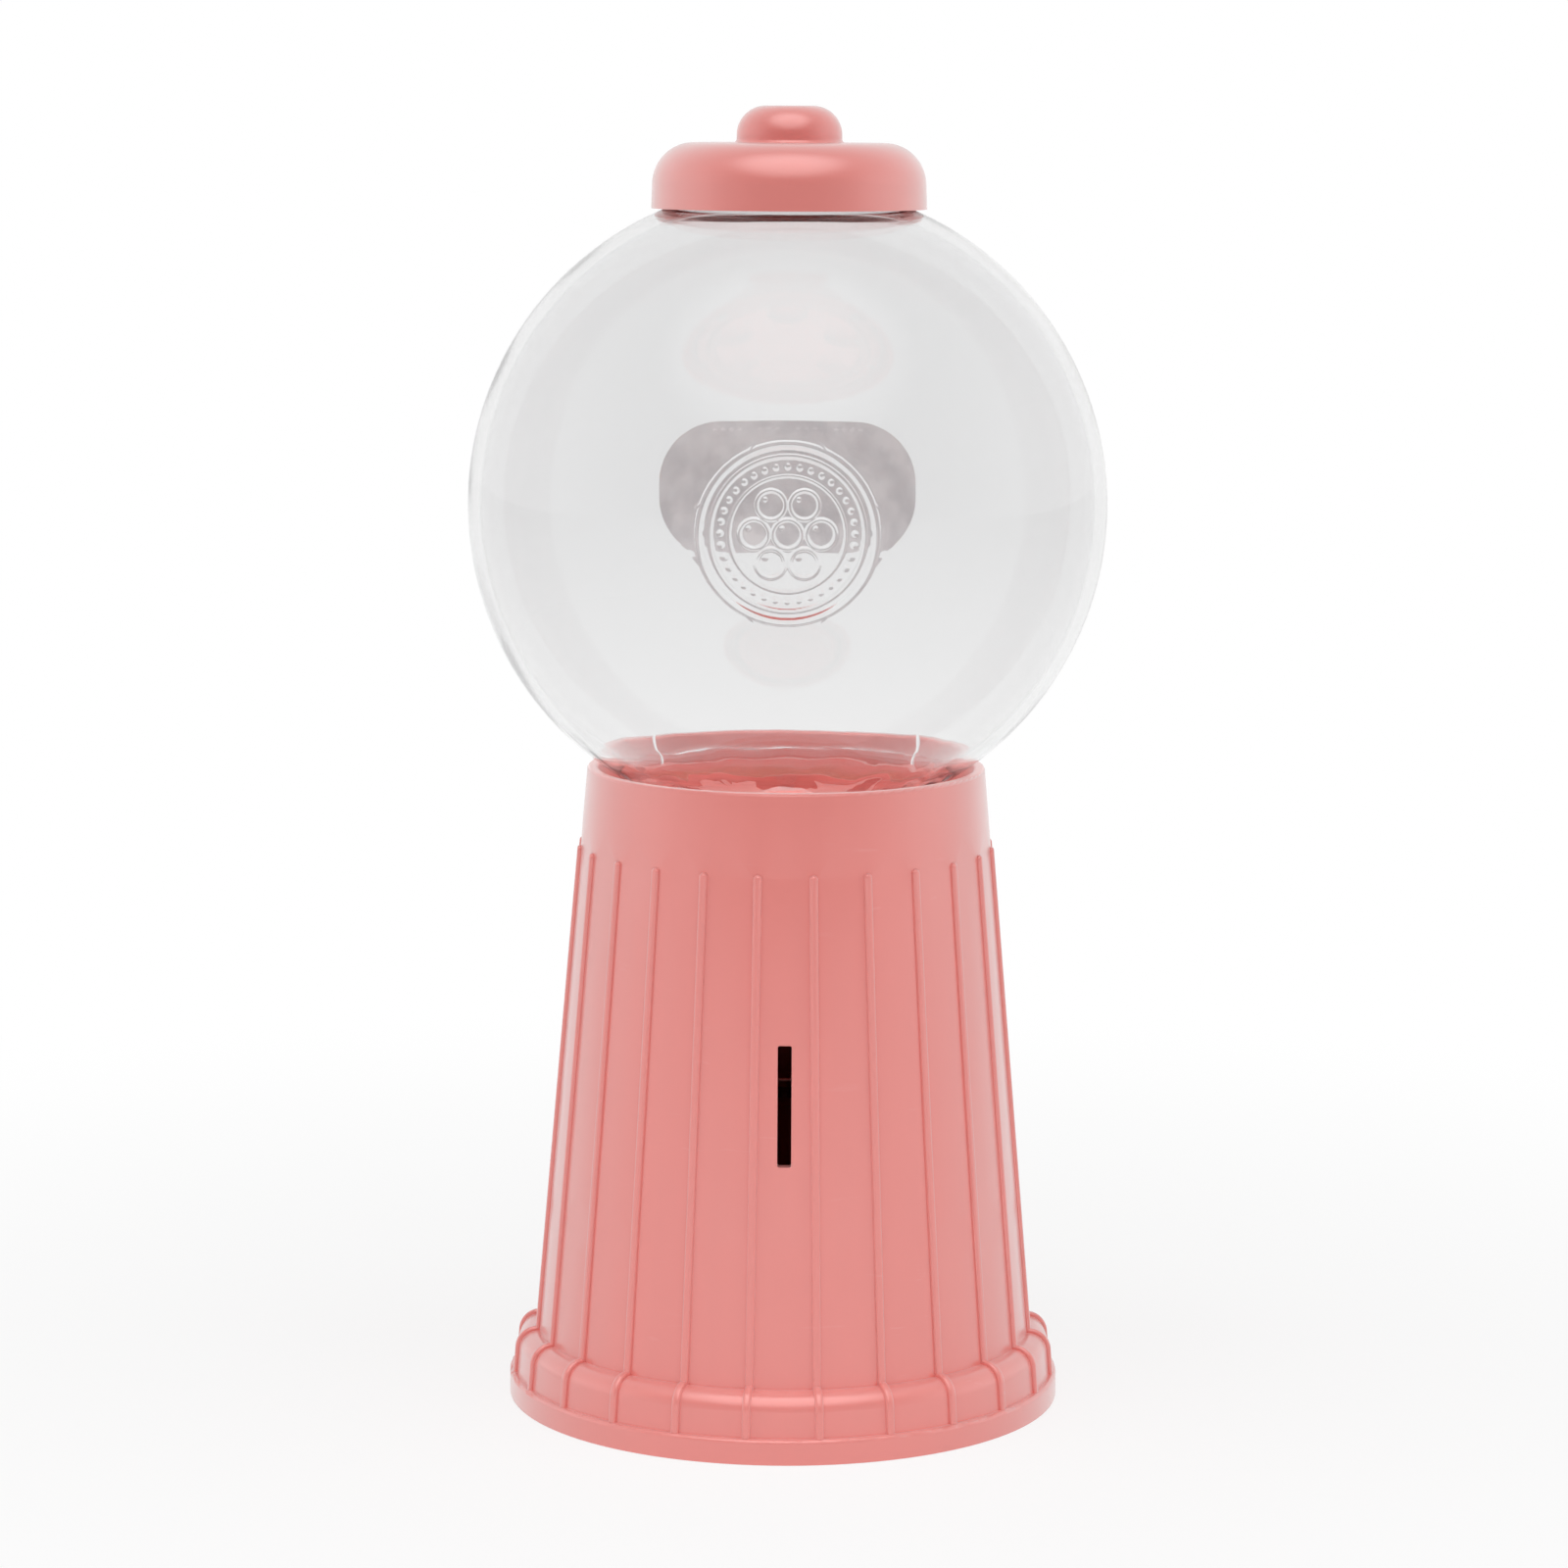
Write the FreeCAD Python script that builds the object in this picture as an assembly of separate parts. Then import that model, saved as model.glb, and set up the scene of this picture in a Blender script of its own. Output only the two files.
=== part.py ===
import FreeCAD, Part
import math
import os

from FreeCAD import Placement, Rotation, Vector

# A toy gumball machine with a coin bank in its base. Millimetres, +Z up, origin on the table under the
# middle of the base. The coin slot faces -Y, the crank and the chute face +Y.

# Base: a ribbed cone on a foot band and a flange
base_height = 156.7
rim_radius = 48.6
cone_low_radius = 60.9
wall = 2.8
rim_round = 0.8
flange_radius = 68.0
flange_height = 6.0
flange_round = 0.9
band_radius = 66.4
band_draft = 0.9
band_height = 10.4
band_round = 4.5
rib_count = 24
rib_width = 2.0
rib_height = 0.95
rib_round = 0.7
rib_root = 0.8
rib_below_rim = 19.0
coin_slot_length = 28.7
coin_slot_width = 3.3
coin_slot_centre = 83.3
coin_slot_corner = 0.5

# Front panel, with the round boss of the crank; it has no ribs near its middle
panel_half_angle = 48.0
panel_gap = 0.9
panel_low = 22.0
rim_slit_depth = 16.0
rim_slit_offset = 34.8
plain_half_angle = 15.0
boss_radius = 17.5
boss_proud = 2.0
boss_round = 1.2
tongue_half_angle = 24.0
tongue_thick = 2.0
tongue_length = 5.0
tongue_gap = 0.3

# Globe, its medallion rings and its label
globe_radius = 77.5
globe_wall = 3.0
foot_length = 6.0
foot_round = 1.0
neck_radius = 28.5
neck_length = 6.5
neck_round = 0.6
medal_radius = 20.2
medal_bead = 0.75
inner_ring_radius = 17.6
inner_ring_bead = 0.45
label_width = 68.0
label_height = 36.0
label_corner = 16.0
label_drop = 2.0
label_thick = 0.2

# Lid with a moulded knob
lid_radius = 33.2
lid_draft = 0.6
lid_height = 15.7
lid_round = 10.0
lid_wall = 2.2
lid_edge_gap = 0.5
knob_radius = 12.7
knob_height = 8.8
knob_round = 7.0
knob_foot_round = 0.9
plug_gap = 0.5
plug_wall = 1.8
plug_length = 4.5
lid_rib_count = 6
lid_rib_thick = 1.6

# Hopper that carries the globe and houses the wheel
seat_depth = 9.6
hopper_gap = 0.5
hopper_flange = 3.0
hopper_wall = 2.0
seat_land = 2.2
socket_gap = 0.4
socket_wall = 1.5
socket_height = 4.2
floor_thick = 2.4
post_radius = 3.4
post_gap = 0.5
post_inset = 3.05
post_length = 14.0
post_web = 2.4
panel_post_angle = 35.0

# Dispensing wheel, its guard and its bearing
ball = 14.0
pocket_count = 6
pocket_play = 2.0
pocket_rim = 0.6
wheel_gap = 0.7
wheel_height = 13.0
wheel_floor_gap = 0.4
wheel_guard_gap = 0.5
wheel_cone_radius = 15.0
wheel_cone_height = 5.0
wheel_cone_tip = 4.0
guard_thick = 1.6
guard_half_angle = 32.0
guard_land = 1.5
guard_gap = 0.2
hub_radius = 4.0
spigot_side = 5.2
bush_wall = 1.5
bush_flange = 1.2
bush_flange_reach = 2.0

# Face gear and pinion
crown_teeth = 36
pinion_teeth = 12
crown_thick = 2.6
crown_face = 2.6
crown_gap = 0.6
tooth_backlash = 0.46
pressure_angle = 20.0
addendum_modules = 1.0
dedendum_modules = 1.25
pinion_hub_length = 2.0
pinion_hub_wall = 1.2
thrust_gap = 0.3

# Crank
shaft_radius = 2.5
shaft_flat = 0.6
bracket_thick = 4.0
bracket_reach = 5.5
bracket_ear = 7.0
knob_gap = 0.5
handle_hub_radius = 11.0
handle_hub_depth = 5.0
handle_depth = 14.0
handle_length = 34.0
handle_width = 9.5
handle_round = 2.4
handle_bore_depth = 9.0

# Chute and its mouth
outlet_play = 0.2
chute_slack = 0.3
chute_wall = 1.6
chute_flange = 2.0
chute_drop = 17.0
chute_depth = 17.0
chute_slope = 26.0
mouth_play = 2.4
mouth_head = 0.8
cup_drop = 8.0
hood_wall = 2.0
hood_border = 3.5
hood_proud = 8.0
hood_round = 2.0
hood_gap = 0.15
hood_slip = 0.3
hood_back = 1.5
hook_reach = 0.9
hook_depth = 2.0
hook_height = 6.0
lip_height = 1.6
lip_depth = 3.0
flap_thick = 2.0
flap_gap = 0.4
flap_pin_radius = 1.0
flap_barrel_wall = 1.5
flap_tab_width = 8.0
flap_tab_reach = 3.5
flap_tab_thick = 1.6

# Underside
cover_gap = 0.4
cover_thick = 2.5
cover_post_radius = 4.0
cover_post_inset = 0.6
cover_screw_count = 4
door_low = 0.5
door_flange_thick = 1.2
door_flange_reach = 2.8
door_radius = 20.0
door_gap = 0.3
door_side_gap = 0.4
door_turn = 60.0
lug_half_angle = 14.0
lug_thick = 1.6
lug_notch_play = 3.0
grip_radius = 14.0
grip_depth = 2.6
grip_bar = 5.0

# Fasteners: pan head, countersunk head and small pan head
pan_head_radius = 2.6
pan_head_height = 1.6
pan_shank_radius = 1.3
pan_length = 9.0
flat_head_radius = 2.6
flat_head_height = 1.5
flat_shank_radius = 1.2
flat_length = 7.0
small_head_radius = 2.2
small_head_height = 1.4
small_shank_radius = 1.0
small_length = 8.0
head_round = 0.7

# Fits: pressed or screwed in, running on a shaft, a screw through a hole; and how far a cutter runs past
press = 0.02
running = 0.05
passing = 0.2
past = 1.0
tiny = 1e-4

# Heights and radii that follow from the sizes above
band_top = flange_height + band_height
cone_slope = math.atan2(cone_low_radius - rim_radius, base_height - band_top)
wall_across = wall / math.cos(cone_slope)
rim_inner = rim_radius - wall_across
band_inner = band_radius - band_draft - wall
shoulder = band_top - wall
rib_top = base_height - rib_below_rim

seat = base_height - seat_depth
hopper_radius = rim_inner - hopper_gap
post_ring = hopper_radius - post_inset
hopper_low = seat - hopper_flange
chamber_outer = post_ring - post_radius - post_gap
chamber = chamber_outer - hopper_wall
foot_radius = chamber + seat_land
foot_inner = foot_radius - globe_wall

wheel_radius = chamber - wheel_gap
wheel_top = seat - guard_thick - wheel_guard_gap
wheel_low = wheel_top - wheel_height
floor_top = wheel_low - wheel_floor_gap
floor_low = floor_top - floor_thick
pocket_width = ball + pocket_play
pocket_ring = wheel_radius - pocket_rim - pocket_width / 2
outlet_radius = pocket_width / 2 + outlet_play
bush_radius = hub_radius + running + bush_wall

chute_half = outlet_radius + chute_slack
chute_outer = chute_half + chute_wall
chute_back = -(pocket_ring + chute_half)
chute_front = -(pocket_ring - chute_half)
chute_end = rim_radius
chute_tan = math.tan(math.radians(chute_slope))
floor_boss_radius = flat_head_radius + passing
ear_x = chute_outer + floor_boss_radius

crown_radius = pocket_ring - chute_half - chute_wall - crown_gap
crown_mid = crown_radius - crown_face / 2
module = 2 * crown_mid / crown_teeth
pinion_radius = module * pinion_teeth / 2
addendum = addendum_modules * module
dedendum = dedendum_modules * module
tooth_pitch = math.pi * module
tooth_half = (tooth_pitch / 2 - tooth_backlash) / 2
tooth_flank = math.tan(math.radians(pressure_angle))
tooth_tip_half = tooth_half - addendum * tooth_flank
tooth_root_half = tooth_half + dedendum * tooth_flank
crown_top = floor_low - bush_flange - thrust_gap
crown_low = crown_top - crown_thick
crown_tip = crown_low - addendum - dedendum
crank_height = crown_tip + addendum - pinion_radius
pinion_back = crown_mid - crown_face / 2
pinion_front = crown_radius + pinion_hub_length
bracket_back = pinion_front + thrust_gap
bracket_ear_x = bracket_reach + shaft_radius + floor_boss_radius

globe_height = seat + foot_length + math.sqrt(globe_radius ** 2 - foot_radius ** 2)
globe_inside = globe_radius - globe_wall
neck_inner = neck_radius - globe_wall
neck_top = globe_height + math.sqrt(globe_radius ** 2 - neck_radius ** 2) + neck_length
lid_inside = lid_radius - lid_wall
lid_low = globe_height + math.sqrt(globe_radius ** 2 - lid_inside ** 2) + lid_edge_gap
lid_top = lid_low + lid_height

door_hole = door_radius + door_side_gap
cover_low = door_low + door_flange_thick + door_gap
cover_top = cover_low + cover_thick
cover_radius = band_inner - cover_gap
cover_post_ring = band_inner - cover_post_radius - cover_post_inset
lug_low = cover_top + door_gap
lug_outer = door_radius + door_flange_reach


def cone_radius(height):
    """Outside radius of the base's cone at a height, without its ribs."""
    return rim_radius + (base_height - height) * math.tan(cone_slope)


def cone_inner(height):
    """Inside radius of the base's cone at a height."""
    return cone_radius(height) - wall_across


def chute_floor(y):
    """Height of the chute's floor, which falls towards the mouth."""
    return floor_low - chute_drop - (y - chute_back) * chute_tan


# The crank's boss and the mouth of the chute, which follow the cone and the chute
boss_face = cone_radius(crank_height - boss_radius) + boss_proud
boss_inner = boss_radius - wall
handle_back = boss_face + knob_gap
handle_front = handle_back + handle_depth
shaft_end = handle_back + handle_bore_depth
mouth_half = chute_outer + mouth_play
cup_floor = chute_floor(chute_end) - cup_drop
mouth_roof = chute_floor(chute_end) + chute_depth + mouth_head
sleeve_half = mouth_half + hood_wall
sleeve_low = cup_floor - hood_wall
sleeve_top = mouth_roof + hood_wall
hood_face = cone_radius(sleeve_low) + hood_proud
flap_barrel = flap_pin_radius + running + flap_barrel_wall
pin_y = hood_face - flap_barrel - flap_gap
pin_z = mouth_roof - flap_barrel - flap_gap


def revolved(profile):
    """Solid of revolution about Z from (radius, height) points."""
    points = [Vector(r, 0, z) for r, z in profile]
    face = Part.Face(Part.makePolygon(points + points[:1]))
    return face.revolve(Vector(0, 0, 0), Vector(0, 0, 1), 360)


def ring_edges(shape, radius, height):
    """Round edges about Z with this radius, at this height."""
    found = []
    for edge in shape.Edges:
        if edge.Curve.TypeId != "Part::GeomCircle":
            continue
        if abs(edge.Curve.Radius - radius) < tiny and abs(edge.Curve.Center.z - height) < tiny:
            found.append(edge)
    return found


def disc(radius, low, high, x=0.0, y=0.0):
    """Upright cylinder."""
    return Part.makeCylinder(radius, high - low, Vector(x, y, low))


def tube(outer, inner, low, high):
    """Upright tube about Z."""
    return disc(outer, low, high).cut(disc(inner, low - past, high + past))


def bar_y(radius, start, end, z, x=0.0):
    """Cylinder along Y."""
    return Part.makeCylinder(radius, end - start, Vector(x, start, z), Vector(0, 1, 0))


def bar_x(radius, half, y, z):
    """Cylinder along X, centred on the middle plane."""
    return Part.makeCylinder(radius, 2 * half, Vector(-half, y, z), Vector(1, 0, 0))


def block(x0, x1, y0, y1, z0, z1):
    """Box between two corners."""
    return Part.makeBox(x1 - x0, y1 - y0, z1 - z0, Vector(x0, y0, z0))


def side_prism(profile, half):
    """Prism of (y, z) points, centred on the middle plane."""
    points = [Vector(-half, y, z) for y, z in profile]
    return Part.Face(Part.makePolygon(points + points[:1])).extrude(Vector(2 * half, 0, 0))


def sector(inner, outer, low, high, middle, half_angle):
    """Part of a flat ring, about the direction `middle` in degrees from +X."""
    points = [Vector(r, 0, z) for r, z in ((inner, low), (outer, low), (outer, high), (inner, high))]
    face = Part.Face(Part.makePolygon(points + points[:1]))
    face.rotate(Vector(0, 0, 0), Vector(0, 0, 1), middle - half_angle)
    return face.revolve(Vector(0, 0, 0), Vector(0, 0, 1), 2 * half_angle)


def turned(shape, angle):
    """Copy turned about Z."""
    copy = shape.copy()
    copy.rotate(Vector(0, 0, 0), Vector(0, 0, 1), angle)
    return copy


def on_ring(radius, angle, height):
    """Point on a circle about Z."""
    a = math.radians(angle)
    return Vector(radius * math.cos(a), radius * math.sin(a), height)


def pan_screw(head_radius, head_height, shank_radius, length):
    """Pan-head screw, pointing down, with the underside of its head at the origin."""
    head = disc(head_radius, 0, head_height)
    head = head.makeFillet(min(head_round, head_height / 2), ring_edges(head, head_radius, head_height))
    return head.fuse(disc(shank_radius, -length, 0)).removeSplitter()


def flat_screw():
    """Countersunk screw, pointing down, with the top of its head at the origin."""
    head = Part.makeCone(flat_shank_radius, flat_head_radius, flat_head_height, Vector(0, 0, -flat_head_height))
    return head.fuse(disc(flat_shank_radius, -flat_length, -flat_head_height)).removeSplitter()


def placed(shape, point, axis=Vector(0, 0, 1), angle=0.0):
    """Copy turned about an axis through the origin, then moved to a point."""
    copy = shape.copy()
    copy.Placement = Placement(point, Rotation(axis, angle))
    return copy


def cone_solid(grow):
    """The base's cone, filled, with its outside moved out by `grow`."""
    g = grow / math.cos(cone_slope)
    low = flange_height
    return revolved([(0, low), (cone_radius(low) + g, low), (rim_radius + g, base_height), (0, base_height)])


def band_solid(grow):
    """The foot band, filled, with its outside moved out by `grow`."""
    top = band_top + grow
    shoulder_radius = band_radius - band_draft + grow
    solid = revolved([(0, flange_height), (band_radius + grow, flange_height), (shoulder_radius, top), (0, top)])
    return solid.makeFillet(band_round + grow, ring_edges(solid, shoulder_radius, top))


def flange_solid():
    """The flange that stands on the table, filled."""
    solid = disc(flange_radius, 0, flange_height)
    return solid.makeFillet(flange_round, ring_edges(solid, flange_radius, flange_height))


def rib_slab(top, round_end):
    """Upright slab as wide as a rib, along +X; its upper end is round or square."""
    half = rib_width / 2
    straight = top - half if round_end else top
    slab = block(0, flange_radius, -half, half, flange_height, straight)
    if round_end:
        slab = slab.fuse(Part.makeCylinder(half, flange_radius, Vector(0, 0, straight), Vector(1, 0, 0)))
    return slab


def rounded_strip(outer, core, slab):
    """Strip of a skin between two solids, with its long outside edges and its end rounded."""
    strip = outer.cut(core).common(slab).removeSplitter()
    skin = outer.Shells[0]
    edges = []
    for edge in strip.Edges:
        middle = edge.valueAt((edge.FirstParameter + edge.LastParameter) / 2)
        beside = abs(abs(middle.y) - rib_width / 2) < tiny or middle.z > rib_top - rib_width / 4
        on_skin = skin.distToShape(Part.Vertex(middle))[0] < tiny
        level = abs(edge.BoundBox.ZMax - edge.BoundBox.ZMin) < tiny
        if beside and on_skin and not level:
            edges.append(edge)
    return strip.makeFillet(rib_round, edges)


def base_rib():
    """One rib along +X: down the cone, over the shoulder and down the foot band."""
    upper = rounded_strip(cone_solid(rib_height), cone_solid(-rib_root), rib_slab(rib_top, True))
    lower = rounded_strip(band_solid(rib_height), band_solid(-rib_root),
                          rib_slab(band_top + rib_height + past, False))
    lower = lower.cut(cone_solid(-rib_root))
    return upper.fuse(lower)


def base_cavity():
    """The hollow of the base, open at the rim and below."""
    high = base_height + past
    return revolved([(0, -past), (band_inner, -past), (band_inner, shoulder), (cone_inner(shoulder), shoulder),
                     (cone_inner(high), high), (0, high)])


def base_skin():
    """The whole ribbed housing, before the front panel is cut out of it."""
    skin = cone_solid(0).fuse([band_solid(0), flange_solid()]).removeSplitter().cut(base_cavity())
    edges = ring_edges(skin, rim_radius, base_height) + ring_edges(skin, rim_inner, base_height)
    skin = skin.makeFillet(rim_round, edges)
    rib = base_rib()
    step = 360.0 / rib_count
    ribs = []
    for i in range(rib_count):
        angle = 90 + (i + 0.5) * step
        plain = abs((angle - 90 + 180) % 360 - 180) < plain_half_angle
        ribs.append(turned(rib, angle) if not plain else turned(rib, angle).common(foot_zone()))
    return skin.fuse(ribs)


def foot_zone():
    """Space of the foot band and the flange, below the cone's own ribs."""
    return disc(flange_radius, flange_height, band_top + rib_height)


def panel_zone(gap):
    """Space of the front panel, less a gap: a wedge, with sides square to the front near the rim."""
    trim = math.degrees(gap / rim_radius)
    step = base_height - rim_slit_depth
    wedge = sector(0, flange_radius, panel_low + gap, step + panel_gap - gap, 90, panel_half_angle - trim)
    half = rim_slit_offset + panel_gap / 2 - gap
    return wedge.fuse(block(-half, half, 0, flange_radius, step, base_height + past))


def post_points():
    """Directions of the hopper's screws: on the shell, then on the front panel."""
    shell = [0.0, 180.0, 270.0]
    panel = [90.0 - panel_post_angle, 90.0 + panel_post_angle]
    return shell, panel


def hopper_post(angle):
    """Screw post under the hopper's flange, joined to the housing's wall by a web."""
    low = hopper_low - post_length
    post = disc(post_radius, low, hopper_low, post_ring)
    web = block(post_ring, cone_radius(low), -post_web / 2, post_web / 2, low, hopper_low)
    hole = disc(pan_shank_radius + press, low - past, hopper_low + past, post_ring)
    post = post.fuse(web).common(cone_solid(-wall / 2)).cut(hole)
    return turned(post, angle)


def base_shell(skin):
    """Housing with the coin slot, without the front panel."""
    shell = skin.cut(panel_zone(0))
    shell = shell.fuse([hopper_post(a) for a in post_points()[0]])
    half = coin_slot_width / 2
    slot = block(-half, half, -flange_radius, 0, coin_slot_centre - coin_slot_length / 2,
                 coin_slot_centre + coin_slot_length / 2)
    upright = [e for e in slot.Edges if abs(e.BoundBox.YMax - e.BoundBox.YMin) > flange_radius - tiny]
    shell = shell.cut(slot.makeFillet(min(coin_slot_corner, half / 2), upright))
    posts = []
    holes = []
    for angle in cover_screw_angles():
        spot = on_ring(cover_post_ring, angle, 0)
        posts.append(disc(cover_post_radius, cover_top, shoulder + wall / 2, spot.x, spot.y))
        holes.append(disc(pan_shank_radius + press, 0, shoulder, spot.x, spot.y))
    return shell.fuse(posts).cut(Part.makeCompound(holes))


def crank_boss():
    """Round boss that gives the crank an upright face on the sloping panel."""
    boss = bar_y(boss_radius, 0, boss_face, crank_height)
    rim = [e for e in boss.Edges if e.Curve.TypeId == "Part::GeomCircle" and e.Curve.Center.y > boss_face - tiny]
    return boss.makeFillet(boss_round, rim).cut(cone_solid(-wall))


def panel_tongue():
    """Tongue on the panel's lower edge, which reaches down behind the housing's wall."""
    inner = cone_solid(-wall - tongue_gap - tongue_thick)
    low = panel_low - tongue_length
    edge = panel_low + panel_gap
    root = cone_solid(-wall / 2).cut(inner)
    root = root.common(sector(0, flange_radius, edge, edge + tongue_length, 90, tongue_half_angle))
    blade = cone_solid(-wall - tongue_gap).cut(inner)
    blade = blade.common(sector(0, flange_radius, low, edge + past, 90, tongue_half_angle))
    return root.fuse(blade)


def front_panel(skin):
    """Removable sector of the housing, with the crank's boss and the hole for the chute's mouth."""
    panel = skin.common(panel_zone(panel_gap))
    panel = panel.fuse([crank_boss(), panel_tongue()] + [hopper_post(a) for a in post_points()[1]])
    panel = panel.cut(bar_y(boss_inner, 0, boss_face - wall, crank_height))
    panel = panel.cut(bar_y(shaft_radius + running + bush_wall + press, 0, boss_face + past, crank_height))
    reach = sleeve_half + hood_slip
    hole = block(-reach, reach, 0, flange_radius, sleeve_low - hood_slip, sleeve_top + hood_slip)
    return panel.cut(hole)


def globe():
    """Clear globe with its foot, neck and medallion rings."""
    def outside(r, sign):
        return globe_height + sign * math.sqrt(globe_radius ** 2 - r ** 2)

    def inside(r, sign):
        return globe_height + sign * math.sqrt(globe_inside ** 2 - r ** 2)

    p = [Vector(foot_inner, 0, seat), Vector(foot_radius, 0, seat),
         Vector(foot_radius, 0, outside(foot_radius, -1)), Vector(neck_radius, 0, outside(neck_radius, 1)),
         Vector(neck_radius, 0, neck_top), Vector(neck_inner, 0, neck_top),
         Vector(neck_inner, 0, inside(neck_inner, 1)), Vector(foot_inner, 0, inside(foot_inner, -1))]
    edges = [Part.makeLine(p[0], p[1]), Part.makeLine(p[1], p[2]),
             Part.Arc(p[2], Vector(globe_radius, 0, globe_height), p[3]).toShape(),
             Part.makeLine(p[3], p[4]), Part.makeLine(p[4], p[5]), Part.makeLine(p[5], p[6]),
             Part.Arc(p[6], Vector(globe_inside, 0, globe_height), p[7]).toShape(), Part.makeLine(p[7], p[0])]
    bowl = Part.Face(Part.Wire(edges)).revolve(Vector(0, 0, 0), Vector(0, 0, 1), 360)
    bowl = bowl.makeFillet(foot_round, ring_edges(bowl, foot_radius, seat) + ring_edges(bowl, foot_inner, seat))
    lip = ring_edges(bowl, neck_radius, neck_top) + ring_edges(bowl, neck_inner, neck_top)
    bowl = bowl.makeFillet(neck_round, lip)
    rings = [medal_ring(medal_radius, medal_bead), medal_ring(inner_ring_radius, inner_ring_bead)]
    return bowl.fuse(rings)


def medal_ring(radius, bead):
    """Round bead half sunk in the globe's outside, about the -Y axis."""
    depth = math.sqrt(globe_radius ** 2 - radius ** 2)
    return Part.makeTorus(radius, bead, Vector(0, -depth, globe_height), Vector(0, 1, 0))


def globe_label():
    """Thin label that follows the globe's outside, facing +Y."""
    centre = Vector(0, 0, globe_height)
    back = globe_radius + press
    sheet = Part.makeSphere(back + label_thick, centre).cut(Part.makeSphere(back, centre))
    half = label_width / 2
    middle = globe_height - label_drop
    cutter = block(-half, half, 0, globe_radius + past, middle - label_height / 2, middle + label_height / 2)
    along = [e for e in cutter.Edges if e.BoundBox.YMax - e.BoundBox.YMin > globe_radius]
    corner = min(label_corner, label_height / 2 - tiny, half - tiny)
    return sheet.common(cutter.makeFillet(corner, along))


def lid_form(inset):
    """Outside of the lid, filled; `inset` moves all its faces inward."""
    top = lid_top - inset
    radius = lid_radius - inset
    knob = knob_radius - inset
    knob_top = lid_top + knob_height - inset
    low = lid_low - (past if inset else 0)
    body = revolved([(0, low), (radius, low), (radius - lid_draft, top), (0, top)])
    body = body.makeFillet(lid_round - inset, ring_edges(body, radius - lid_draft, top))
    stub = disc(knob, low, knob_top)
    stub = stub.makeFillet(knob_round - inset, ring_edges(stub, knob, knob_top))
    form = body.fuse(stub).removeSplitter()
    return form.makeFillet(knob_foot_round + inset / 2, ring_edges(form, knob, top))


def lid():
    """Hollow lid: a plug ring centres it in the neck, and ribs rest on the neck's top."""
    form = lid_form(0)
    hollow = lid_form(lid_wall)
    plug_outer = neck_inner - plug_gap
    plug = tube(plug_outer, plug_outer - plug_wall, neck_top - plug_length, lid_top - lid_wall / 2)
    inside = [plug]
    for i in range(lid_rib_count):
        rib = block(plug_outer - plug_wall / 2, lid_radius, -lid_rib_thick / 2, lid_rib_thick / 2, neck_top, lid_top)
        inside.append(turned(rib, i * 360.0 / lid_rib_count))
    kept = [piece.common(lid_form(lid_wall / 2)) for piece in inside]
    return form.cut(hollow).fuse(kept)


def hopper():
    """Seat of the globe and chamber of the wheel."""
    socket = foot_radius + socket_gap
    rim = socket + socket_wall
    bore = bush_radius + press
    body = revolved([(bore, floor_low), (chamber_outer, floor_low), (chamber_outer, hopper_low),
                     (hopper_radius, hopper_low), (hopper_radius, seat), (rim, seat),
                     (rim, seat + socket_height), (socket, seat + socket_height), (socket, seat),
                     (chamber, seat), (chamber, floor_top), (bore, floor_top)])
    body = body.cut(disc(outlet_radius, floor_low - past, floor_top + past, 0, -pocket_ring))
    recess = sector(chamber - past, chamber + guard_land + guard_gap, seat - guard_thick, seat + past, 270,
                    guard_half_angle + math.degrees(guard_gap / chamber))
    cuts = [recess]
    for angle in post_points()[0] + post_points()[1]:
        spot = on_ring(post_ring, angle, 0)
        cuts.append(disc(pan_shank_radius + passing, hopper_low - past, seat + past, spot.x, spot.y))
        cuts.append(disc(pan_head_radius + passing, seat, seat + socket_height + past, spot.x, spot.y))
    for spot in floor_screw_points():
        cuts.append(disc(flat_shank_radius + passing, floor_low - past, floor_top, spot.x, spot.y))
        head = Part.makeCone(flat_shank_radius, flat_head_radius, flat_head_height,
                             Vector(spot.x, spot.y, floor_top - flat_head_height))
        cuts.append(head)
        cuts.append(disc(flat_head_radius, floor_top, floor_top + past, spot.x, spot.y))
    for cutter in cuts:
        body = body.cut(cutter)
    return body


def ball_guard():
    """Plate over the outlet, laid in the seat under the globe's foot."""
    plate = sector(wheel_cone_radius, chamber + guard_land, seat - guard_thick, seat, 270, guard_half_angle)
    return plate


def dispensing_wheel():
    """Wheel with open pockets, a low cone that spreads the gumballs, a hub and a square spigot."""
    tip = wheel_top + wheel_cone_height
    body = revolved([(0, wheel_low), (wheel_radius, wheel_low), (wheel_radius, wheel_top),
                     (wheel_cone_radius, wheel_top), (wheel_cone_tip, tip), (0, tip)])
    body = body.makeFillet(wheel_cone_height / 4, ring_edges(body, wheel_cone_tip, tip))
    half = pocket_width / 2
    notch = disc(half, wheel_low - past, tip + past, pocket_ring)
    notch = notch.fuse(block(pocket_ring, wheel_radius + past, -half, half, wheel_low - past, tip + past))
    for i in range(pocket_count):
        body = body.cut(turned(notch, 270 + i * 360.0 / pocket_count))
    half = spigot_side / 2
    stem = disc(hub_radius, crown_top, wheel_low).fuse(block(-half, half, -half, half, crown_low, crown_top))
    body = body.fuse(stem).removeSplitter()
    return body.cut(disc(small_shank_radius + press, crown_low - past, crown_low + small_length))


def wheel_bush():
    """Flanged bush of the wheel in the hopper's floor."""
    bush = disc(bush_radius, floor_low, floor_top)
    bush = bush.fuse(disc(bush_radius + bush_flange_reach, floor_low - bush_flange, floor_low))
    return bush.removeSplitter().cut(disc(hub_radius + running, floor_low - bush_flange - past, floor_top + past))


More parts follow.
